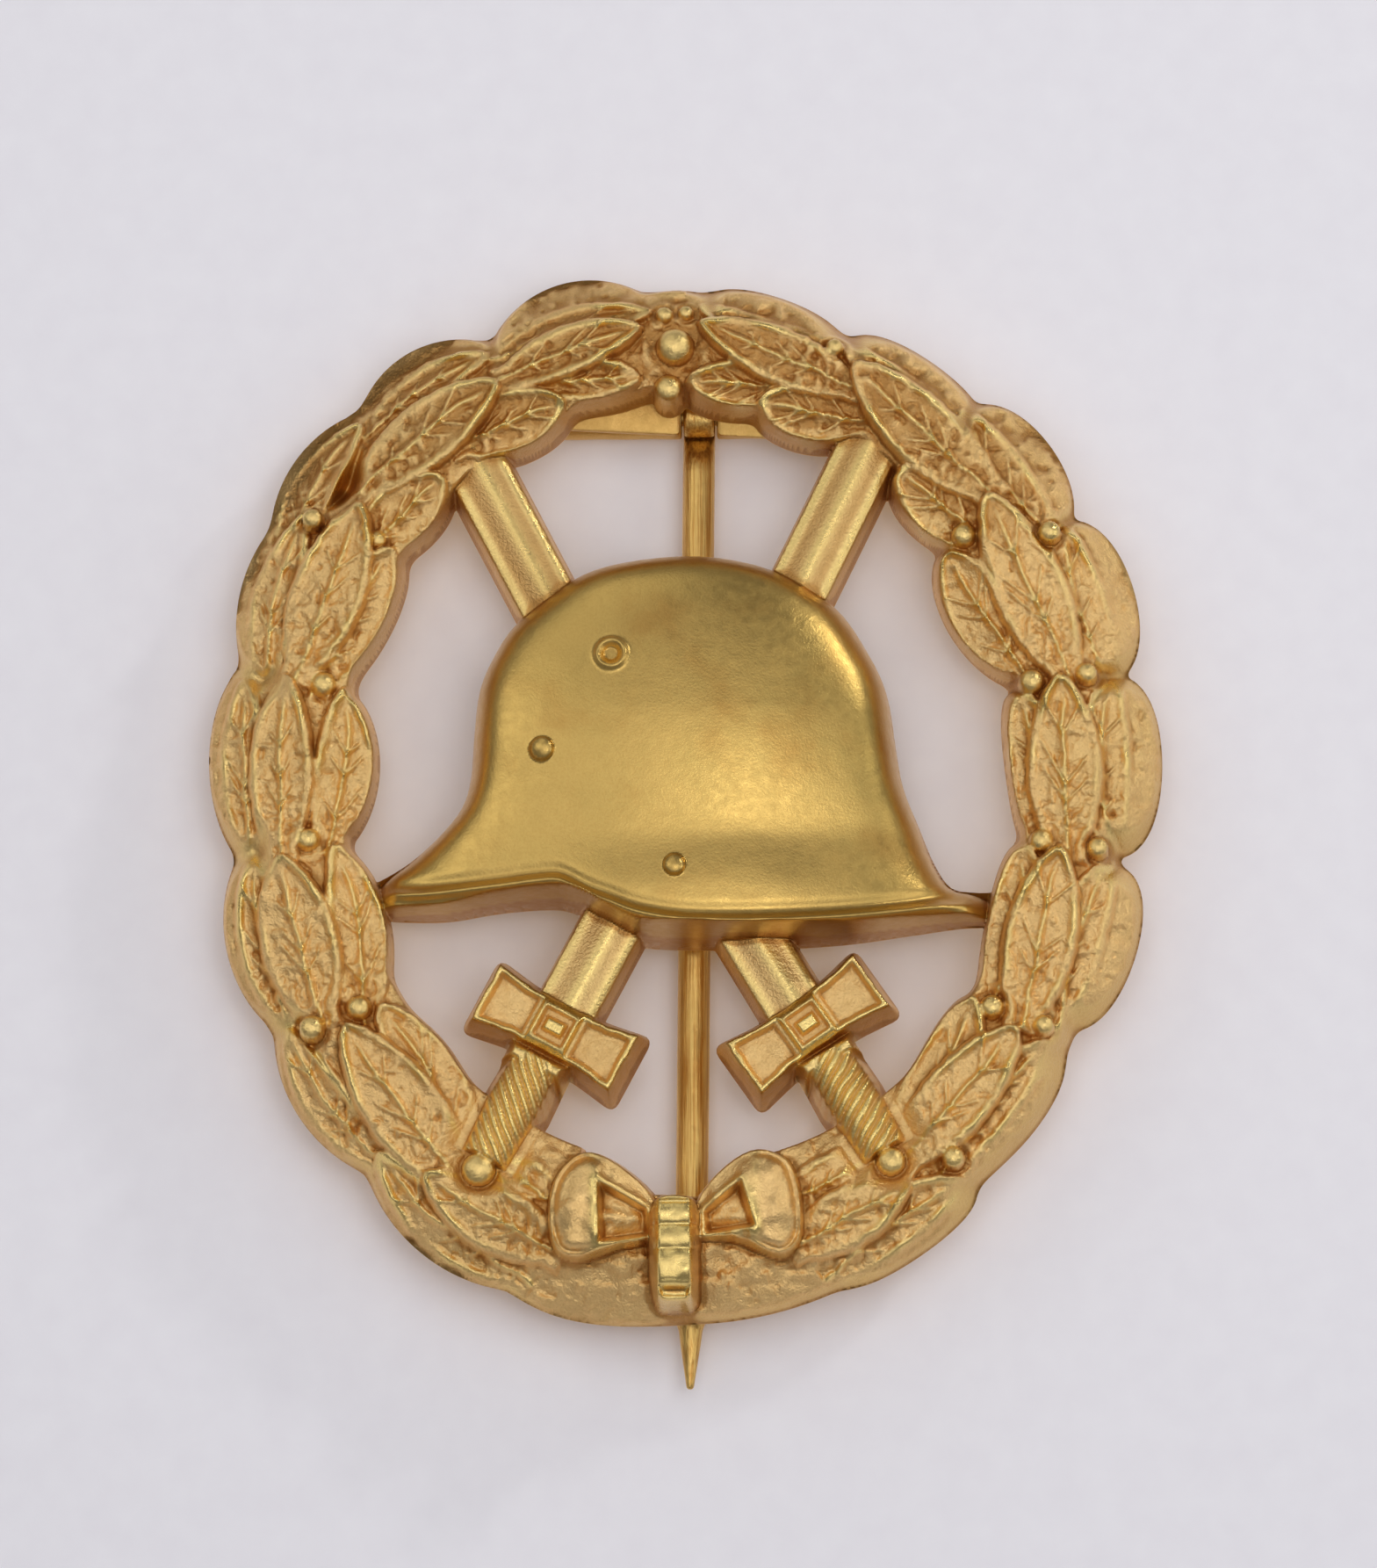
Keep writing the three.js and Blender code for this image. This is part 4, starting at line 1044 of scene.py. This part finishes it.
def gold(name, matte, bright, roughness, grain, even_polish=None, patches=0.3, marks=0.13, drawn=1.0):
    """Gilding: frosted where the die left it, burnished on the ridges, with painted shade in the hollows and
    on walls that turn away.

    The first colour and roughness are the frosted ones. Patches and marks say how strong the wide stains
    and the fine specks are. The grain of drawn wire is stretched along the wire by the last value.
    """
    material = bpy.data.materials.new(name)
    material.use_nodes = True
    tree = material.node_tree
    shader = tree.nodes["Principled BSDF"]
    shader.inputs["Metallic"].default_value = 1.0
    place = object_place(tree)
    stretched = node(tree, "ShaderNodeMapping", Scale=(1, 1, 1 / drawn), Vector=place).outputs["Vector"]
    lumps = cloud(tree, place, 0.4)
    grains = cloud(tree, stretched, 0.11, 3.0, 0.6)

    def field(name):
        return node(tree, "ShaderNodeAttribute", attribute_name=name).outputs["Fac"]

    if even_polish is None:
        polish = ranged(tree, field("polish"), 0.1, 0.9)
    else:
        polish = ranged(tree, lumps, 0.2, 0.8, even_polish - 0.15, even_polish + 0.15)
    colour = mixed(tree, polish, GOLD[matte], GOLD[bright], True)
    for where, low, high, strength, stain_and_shade in (
        (cloud(tree, place, 6.0), 0.42, 0.75, patches, "olive"),
        (cloud(tree, place, 3.5), 0.5, 0.8, patches, "toning_and_shade"),
        (grains, 0.6, 0.35, marks, "toning_and_shade"),
        # Painted shade from the hollow and steep fields.
        (field("hollow"), 0.3, 1.1, 0.8, "toning_and_shade"),
        (field("steep"), 0.1, 1.0, 0.38, "toning_and_shade"),
    ):
        colour = mixed(tree, ranged(tree, where, low, high, 0.0, strength), colour, GOLD[stain_and_shade], True)
    feed(tree, colour, shader.inputs["Base Color"])
    varied = node(tree, "ShaderNodeMath", operation="MULTIPLY")
    feed(tree, mixed(tree, polish, *roughness), varied.inputs[0])
    feed(tree, ranged(tree, lumps, 0.25, 0.75, 0.85, 1.15), varied.inputs[1])
    feed(tree, varied.outputs[0], shader.inputs["Roughness"])
    for height, depth, on_ridges in ((lumps, 0.5 * grain, 0.3), (grains, grain, 0.35)):
        strength = mixed(tree, polish, 1.0, on_ridges)
        bump = node(tree, "ShaderNodeBump", Distance=depth * MM, Strength=strength, Height=height)
        if shader.inputs["Normal"].is_linked:
            feed(tree, shader.inputs["Normal"].links[0].from_socket, bump.inputs["Normal"])
        feed(tree, bump.outputs["Normal"], shader.inputs["Normal"])
    return material


MATERIALS = {
    "gilt": gold("fire_gilding", "frosted", "ridge", (0.43, 0.26), 0.06, patches=0.14),
    "burnished_gilt": gold("satin_gilding", "satin", "satin_bright", (0.42, 0.33), 0.028, patches=0.5),
    "ribbon": gold("ribbon_gilding", "frosted", "ridge", (0.4, 0.28), 0.035, patches=0.2),
    "wire": gold("drawn_wire", "drawn", "burnished", (0.4, 0.28), 0.05, 0.5, marks=0.7, drawn=40.0),
    "back_fitting": gold("fitting_gilding", "drawn", "satin", (0.5, 0.36), 0.02, 0.4),
}

build_sheet()

# ------------------------------------------------------------------ pin fittings

# These are in the frame's own directions, in millimetres: x to the right, y to the back and z up.
HINGE = np.array(frame["joints"][0]["pos_m"]) / MM


def node_box(name):
    """The low and high corners of a CAD node, in millimetres."""
    low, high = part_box(name)
    return np.array(low) / MM, np.array(high) / MM


def surface(name, rings, closed=False):
    """A closed mesh over a row of rings of points. Its ends are capped unless the row is closed too."""
    rings = np.asarray(rings)
    rows, sides = rings.shape[:2]
    spans = rows if closed else rows - 1
    i, j = np.meshgrid(np.arange(spans), np.arange(sides), indexing="ij")
    next_i, next_j = (i + 1) % rows, (j + 1) % sides
    corners = (i * sides + j, i * sides + next_j, next_i * sides + next_j, next_i * sides + j)
    faces = np.stack(corners, axis=-1).reshape(-1, 4).tolist()
    if not closed:
        faces.append(list(range(sides)))
        faces.append(list(range((rows - 1) * sides, rows * sides)))
    mesh = bpy.data.meshes.new(name)
    mesh.from_pydata((rings.reshape(-1, 3) * MM).tolist(), [], faces)
    return mesh


def fitting(name, meshes, slot, body="badge"):
    """One object from some meshes, in the place of the CAD node of that name."""
    shape = bmesh.new()
    for mesh in meshes:
        shape.from_mesh(mesh)
        bpy.data.meshes.remove(mesh)
    bmesh.ops.recalc_face_normals(shape, faces=shape.faces)
    for face in shape.faces:
        face.smooth = True
    for edge in shape.edges:
        edge.smooth = edge.calc_face_angle(0) < math.radians(40)
    mesh = bpy.data.meshes.new("fitting_" + name)
    shape.to_mesh(mesh)
    shape.free()
    mesh.materials.append(MATERIALS[slot])
    piece = link("fitting_" + name, mesh)
    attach(piece, body)
    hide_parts(name)


def offset(outline, by):
    """An anticlockwise outline moved outwards by a distance."""
    before = outline - np.roll(outline, 1, axis=0)
    after = np.roll(outline, -1, axis=0) - outline
    sides = [side / np.linalg.norm(side, axis=1, keepdims=True) for side in (before, after)]
    outward = [np.stack([side[:, 1], -side[:, 0]], axis=1) for side in sides]
    middle = outward[0] + outward[1]
    return outline + by * middle / (1 + (outward[0] * outward[1]).sum(axis=1, keepdims=True))


def plate(name, outline, front, back, bevel=0.1):
    """A thin plate with softened edges, from an anticlockwise outline in x and z."""
    levels = [(front, -bevel), (front + 0.3 * bevel, -0.3 * bevel), (front + bevel, 0),
              (back - bevel, 0), (back - 0.3 * bevel, -0.3 * bevel), (back, -bevel)]
    rings = []
    for y, grow in levels:
        ring = offset(outline, grow)
        rings.append(np.stack([ring[:, 0], np.full(len(ring), y), ring[:, 1]], axis=1))
    return surface(name, rings)


def turned_round_x(name, profile, centre, seam, sides=72):
    """A closed outline of (x, radius) turned round an axle, with a groove along it at the seam's angle."""
    profile = np.array(profile)
    rings = []
    for angle in np.arange(sides) * 2 * math.pi / sides:
        groove = 0.14 * line(math.remainder(angle - seam, 2 * math.pi), 0.07)
        radius = profile[:, 1] - groove * (profile[:, 1] > profile[:, 1].mean())
        rings.append(np.stack([
            profile[:, 0], centre[1] + radius * math.cos(angle), centre[2] + radius * math.sin(angle),
        ], axis=1))
    return surface(name, rings, closed=True)


def swept(name, path, side, widths, depths, squareness, count=40):
    """A bar along a path. Its section has a half width along side and a half depth across it.

    A squareness of 2 makes the section an ellipse, and more than that makes it boxier.
    """
    path = np.array(path, float)
    along = np.gradient(path, axis=0)
    along /= np.linalg.norm(along, axis=1, keepdims=True)
    side = np.array(side, float)
    angles = np.arange(count) * 2 * math.pi / count
    rings = []
    for point, forward, width, depth, square in zip(path, along, widths, depths, squareness):
        across = np.cross(forward, side)
        u = np.sign(np.cos(angles)) * np.abs(np.cos(angles)) ** (2 / square)
        v = np.sign(np.sin(angles)) * np.abs(np.sin(angles)) ** (2 / square)
        rings.append(point + width * u[:, None] * side + depth * v[:, None] * across)
    return surface(name, rings)


def solder(name, centre, half, height, seed):
    """A low, uneven mound of solder on the back of a plate."""
    wander = np.random.RandomState(seed).uniform(-1, 1, 8)
    angles = np.arange(48) * 2 * math.pi / 48
    bulge = 1 + 0.1 * sum(wander[k] * np.sin((k + 1) * angles + 7 * wander[k + 4]) for k in range(4))
    rings = []
    for share in (1.0, 0.97, 0.85, 0.65, 0.4, 0.15):
        x = centre[0] + half[0] * share * bulge * np.cos(angles)
        z = centre[2] + half[1] * share * bulge * np.sin(angles)
        rings.append(np.stack([x, np.full(48, centre[1] + height * (1 - share**2.5)), z], axis=1))
    return surface(name, rings)


# The two barrels' seams are at these angles, from the back towards the top, in radians.
BARREL = {"outer": 0.91, "bore": 0.4, "bevel": 0.08, "seams": {"left": 2.2, "right": 2.35}}
PLATE = {
    "slot_half": 0.8,  # half width of the notch that the needle swings in
    "slot_top": 17.7,
    "slant": 0.05,  # the plate's lower edge drops by this share towards its right end
    "shoulder": (0.9, 0.7),  # how far in the sides taper up to their shoulders, and how far below the top
    "top": 2.4,  # the top edge is this much shorter at each end
    "corner": 0.25,
}
AXLE = {"radius": 0.36, "ends": (0, 0.02, 0.08, 0.18), "shares": (0.3, 0.6, 0.88, 1)}
WIRE = {
    "half": 0.68,
    "eye_half": (0.66, 0.235),  # the eye's strip: half width and half thickness
    "eye": 0.665,  # radius of the strip's middle
    "eye_square": 4.5,  # how square the strip's section is: 2 is round
    "eye_from": 262,  # the strip starts at this angle, in degrees, and ends at 0
    "lean": 0.55,  # degrees
    "point": 2.9,  # length of the point
    # Height above the tip, and radius.
    "point_shape": ((2.78, 0.64), (2.62, 0.56), (2.45, 0.5), (1.9, 0.43), (1.3, 0.34), (0.7, 0.25),
                    (0.25, 0.18), (0.08, 0.15), (0.02, 0.1), (0.0, 0.04)),
}
# The strip's section, the radius of its middle line round the needle, and the angles it is bent through.
HOOK = {"half_thick": 0.2, "half_wide": 0.88, "bend": 1.01, "from": 174, "to": 25}


def hinge_plate():
    """The notched plate, with a mound of solder above each barrel."""
    low, high = node_box("hinge_plate")
    slot_low, slot_high = HINGE[0] - PLATE["slot_half"], HINGE[0] + PLATE["slot_half"]
    drop = PLATE["slant"] * (high[0] - low[0])
    inset, down = PLATE["shoulder"]
    outline = [
        (low[0], low[2] + drop), (slot_low, low[2] + 0.5 * drop), (slot_low, PLATE["slot_top"]),
        (slot_high, PLATE["slot_top"]), (slot_high, low[2] + 0.45 * drop), (high[0], low[2]),
        (high[0] - inset, high[2] - down), (high[0] - PLATE["top"], high[2]),
        (low[0] + PLATE["top"], high[2]), (low[0] + inset, high[2] - down),
    ]
    meshes = [plate("plate", cut_corners(outline, PLATE["corner"]), low[1], high[1])]
    for seed, side in ((60, "left"), (61, "right")):
        start, end = node_box("hinge_barrel_" + side)
        centre = ((start[0] + end[0]) / 2, high[1] - 0.05, HINGE[2] + 0.75)
        meshes.append(solder("fillet", centre, (0.85 * (end[0] - start[0]) / 2, 0.55), 0.3, seed))
    fitting("hinge_plate", meshes, "back_fitting")


def hinge_barrel(side):
    """A strip rolled into a barrel, a little uneven, with the seam of the roll along it."""
    outer, bore, bevel = BARREL["outer"], BARREL["bore"], BARREL["bevel"]
    start, end = node_box("hinge_barrel_" + side)
    a, b = start[0], end[0]
    profile = [(a, outer - bevel), (a + 0.3 * bevel, outer - 0.3 * bevel), (a + bevel, outer)]
    profile += [(x, outer - 0.01 * math.sin(3 * x)) for x in np.linspace(a + 0.4, b - 0.4, 12)]
    profile += [(b - bevel, outer), (b - 0.3 * bevel, outer - 0.3 * bevel), (b, outer - bevel),
                (b, bore + 0.05), (b - 0.05, bore), (a + 0.05, bore), (a, bore + 0.05)]
    barrel = turned_round_x("barrel", profile, HINGE, BARREL["seams"][side])
    fitting("hinge_barrel_" + side, [barrel], "back_fitting")


def hinge_axle():
    """A pin with rounded ends."""
    low, high = node_box("hinge_axle")
    ends = np.array(AXLE["ends"])
    radius = AXLE["radius"] * np.array(AXLE["shares"] + AXLE["shares"][::-1])
    path = [(x, HINGE[1], HINGE[2]) for x in (*(low[0] + ends), *(high[0] - ends[::-1]))]
    fitting("hinge_axle", [swept("axle", path, (0, 0, 1), radius, radius, [2] * len(path), 32)], "wire")


def needle():
    """Wire flattened and rolled into an eye round the axle, then a round shank and a blunt point."""
    tip = node_box("needle")[0][2]
    lean = math.tan(math.radians(WIRE["lean"]))
    eye, half, square = WIRE["eye"], WIRE["half"], WIRE["eye_square"]
    eye_wide, eye_deep = WIRE["eye_half"]
    # Each station: its place, the section's half width and half depth, and how square it is.
    stations = []
    for angle in np.radians(np.linspace(WIRE["eye_from"], 0, 40)):
        place = (HINGE[0], HINGE[1] + eye * math.cos(angle), HINGE[2] + eye * math.sin(angle))
        stations.append((place, eye_wide, eye_deep, square))
    for down in np.linspace(0.15, 2.6, 14):
        share = step(0, 2.4, down)
        place = (HINGE[0] - lean * down, HINGE[1] + eye * (1 - share), HINGE[2] - down)
        wide = eye_wide + (half - eye_wide) * share
        deep = eye_deep + (half - eye_deep) * share
        stations.append((place, wide, deep, square + (2 - square) * share))
    shank = [(z, half) for z in np.linspace(HINGE[2] - 3.2, tip + WIRE["point"], 50)]
    for z, radius in shank + [(tip + rise, radius) for rise, radius in WIRE["point_shape"]]:
        stations.append(((HINGE[0] - lean * (HINGE[2] - z), HINGE[1], z), radius, radius, 2))
    path, widths, depths, squares = zip(*stations)
    fitting("needle", [swept("shank", path, (1, 0, 0), widths, depths, squares, 56)], "wire", "needle")


def catch():
    """The catch plate with its solder, and the strip bent round the needle into a hook."""
    low, high = node_box("catch_plate")
    hook_low, hook_high = node_box("catch_hook")
    bend = HOOK["bend"]  # from the needle's middle to the middle of the strip
    foot_x = hook_low[0] + HOOK["half_thick"]
    hook_x = hook_low[0] + bend + HOOK["half_thick"]
    level = (hook_low[2] + hook_high[2]) / 2
    outline = [(low[0], low[2]), (high[0], low[2]), (high[0], high[2]), (low[0], high[2])]
    body = plate("plate", cut_corners(outline, 0.95), low[1], high[1])
    mound = solder("fillet", (foot_x, high[1] - 0.05, level), (0.75, 1.3), 0.4, 70)
    fitting("catch_plate", [body, mound], "back_fitting")

    path = [(foot_x, y, level) for y in np.linspace(high[1] + 0.06, HINGE[1], 8)]
    for turn in np.radians(np.linspace(HOOK["from"], HOOK["to"], 30)):
        path.append((hook_x + bend * math.cos(turn), HINGE[1] + bend * math.sin(turn), level))
    count = len(path)
    widths = HOOK["half_wide"] - 0.06 * step(0.6, 1, np.arange(count) / (count - 1))
    depths = np.full(count, HOOK["half_thick"])
    depths[-1] *= 0.55
    widths[-1] *= 0.9
    fitting("catch_hook", [swept("strip", path, (0, 0, 1), widths, depths, [6] * count)], "back_fitting")


hinge_plate()
for barrel_side in BARREL["seams"]:
    hinge_barrel(barrel_side)
hinge_axle()
needle()
catch()

# ------------------------------------------------------------------ backdrop, lights and camera

BACKDROP = {"y": 2.75, "half": 160, "shades": ((0.80, 0.78, 0.82), (0.86, 0.85, 0.88))}
CAMERA = {
    "target": (0.07, 0.0, 0.62),
    "distance": 350,
    "azimuth": 1.5,
    "elevation": -10.5,
    "lens": 190.9,
    "sensor": 36,
    "clip": (0.01, 5),  # in metres
}
# Each light: azimuth and elevation as seen_from takes them, side in millimetres and radiance.
LIGHTS = {
    "lamp_by_camera": (13, -8, 60, 3.3),
    "window_left": (-46, 14, 170, 1.0),
    "sky_left": (-28, 50, 170, 0.6),
    "lamp_right": (56, 36, 26, 50.0),
    "fill_right": (60, -5, 140, 1.5),
    "back_left": (150, 30, 250, 1.6),
    "back_right": (-150, 10, 250, 1.4),
}
LIGHT_DISTANCE = 300  # from the badge's middle
# A broad lamp that lights the paper. On the metal it would be one large glint, so it is kept out of glints.
PAPER_LAMP = (10, 6, 260, 1.14)
# The room is brightest in one direction, in front of the badge and a little below it.
WORLD = {"colour": (0.87, 0.86, 0.9), "towards": (0.05, -0.989, -0.14), "brightest": 1.2, "darkest": 0.22}


def seen_from(azimuth, elevation):
    """The direction from the badge towards something at this azimuth and elevation in front of it."""
    a, e = math.radians(azimuth), math.radians(elevation)
    return Vector((math.sin(a) * math.cos(e), -math.cos(a) * math.cos(e), math.sin(e)))


def make_backdrop():
    half = BACKDROP["half"] * MM
    mesh = bpy.data.meshes.new("backdrop")
    corners = [(-half, 0, -half), (half, 0, -half), (half, 0, half), (-half, 0, half)]
    mesh.from_pydata(corners, [], [(0, 1, 2, 3)])
    backdrop = link("backdrop", mesh)
    backdrop.location.y = BACKDROP["y"] * MM
    material = bpy.data.materials.new("pale_paper")
    material.use_nodes = True
    tree = material.node_tree
    shader = tree.nodes["Principled BSDF"]
    shader.inputs["Roughness"].default_value = 0.9
    shader.inputs["Specular IOR Level"].default_value = 0.2
    fibre = cloud(tree, object_place(tree), 1.5, 4.0)
    feed(tree, mixed(tree, fibre, *BACKDROP["shades"], True), shader.inputs["Base Color"])
    # The paper is clear from behind, so that the badge's back can be seen.
    clear = node(tree, "ShaderNodeBsdfTransparent")
    backfacing = node(tree, "ShaderNodeNewGeometry").outputs["Backfacing"]
    pick = node(tree, "ShaderNodeMixShader")
    for i, value in enumerate((backfacing, shader.outputs[0], clear.outputs[0])):
        feed(tree, value, pick.inputs[i])
    feed(tree, pick.outputs[0], tree.nodes["Material Output"].inputs["Surface"])
    mesh.materials.append(material)
    backdrop.visible_shadow = False


def aimed(name, data, azimuth, elevation, distance, target=(0, 0, 0)):
    """A light or camera at some distance from a target, which it looks at."""
    made = link(name, data)
    direction = seen_from(azimuth, elevation)
    made.location = Vector(target) * MM + direction * distance * MM
    made.rotation_mode = "QUATERNION"
    made.rotation_quaternion = direction.to_track_quat("Z", "Y")
    return made


def area_light(name, azimuth, elevation, side, radiance):
    data = bpy.data.lights.new(name, "AREA")
    data.size = side * MM
    data.energy = radiance * math.pi * data.size**2
    light = aimed(name, data, azimuth, elevation, LIGHT_DISTANCE)
    light.visible_camera = False
    return light


def make_lights():
    for name, values in LIGHTS.items():
        area_light(name, *values)
    area_light("paper_lamp", *PAPER_LAMP).visible_glossy = False
    world = bpy.data.worlds.new("studio")
    world.use_nodes = True
    tree = world.node_tree
    background = tree.nodes["Background"]
    feed(tree, WORLD["colour"], background.inputs["Color"])
    facing = node(tree, "ShaderNodeVectorMath", operation="DOT_PRODUCT")
    feed(tree, node(tree, "ShaderNodeTexCoord").outputs["Generated"], facing.inputs[0])
    feed(tree, WORLD["towards"], facing.inputs[1])
    strength = ranged(tree, facing.outputs["Value"], 0.7, 1.0, WORLD["darkest"], WORLD["brightest"])
    feed(tree, strength, background.inputs["Strength"])
    bpy.context.scene.world = world


def make_camera():
    data = bpy.data.cameras.new("camera")
    data.lens = CAMERA["lens"]
    data.sensor_width = CAMERA["sensor"]
    data.clip_start, data.clip_end = CAMERA["clip"]
    bpy.context.scene.camera = aimed(
        "camera", data, CAMERA["azimuth"], CAMERA["elevation"], CAMERA["distance"], CAMERA["target"],
    )


make_backdrop()
make_lights()
make_camera()
bpy.context.scene.view_settings.view_transform = "Standard"
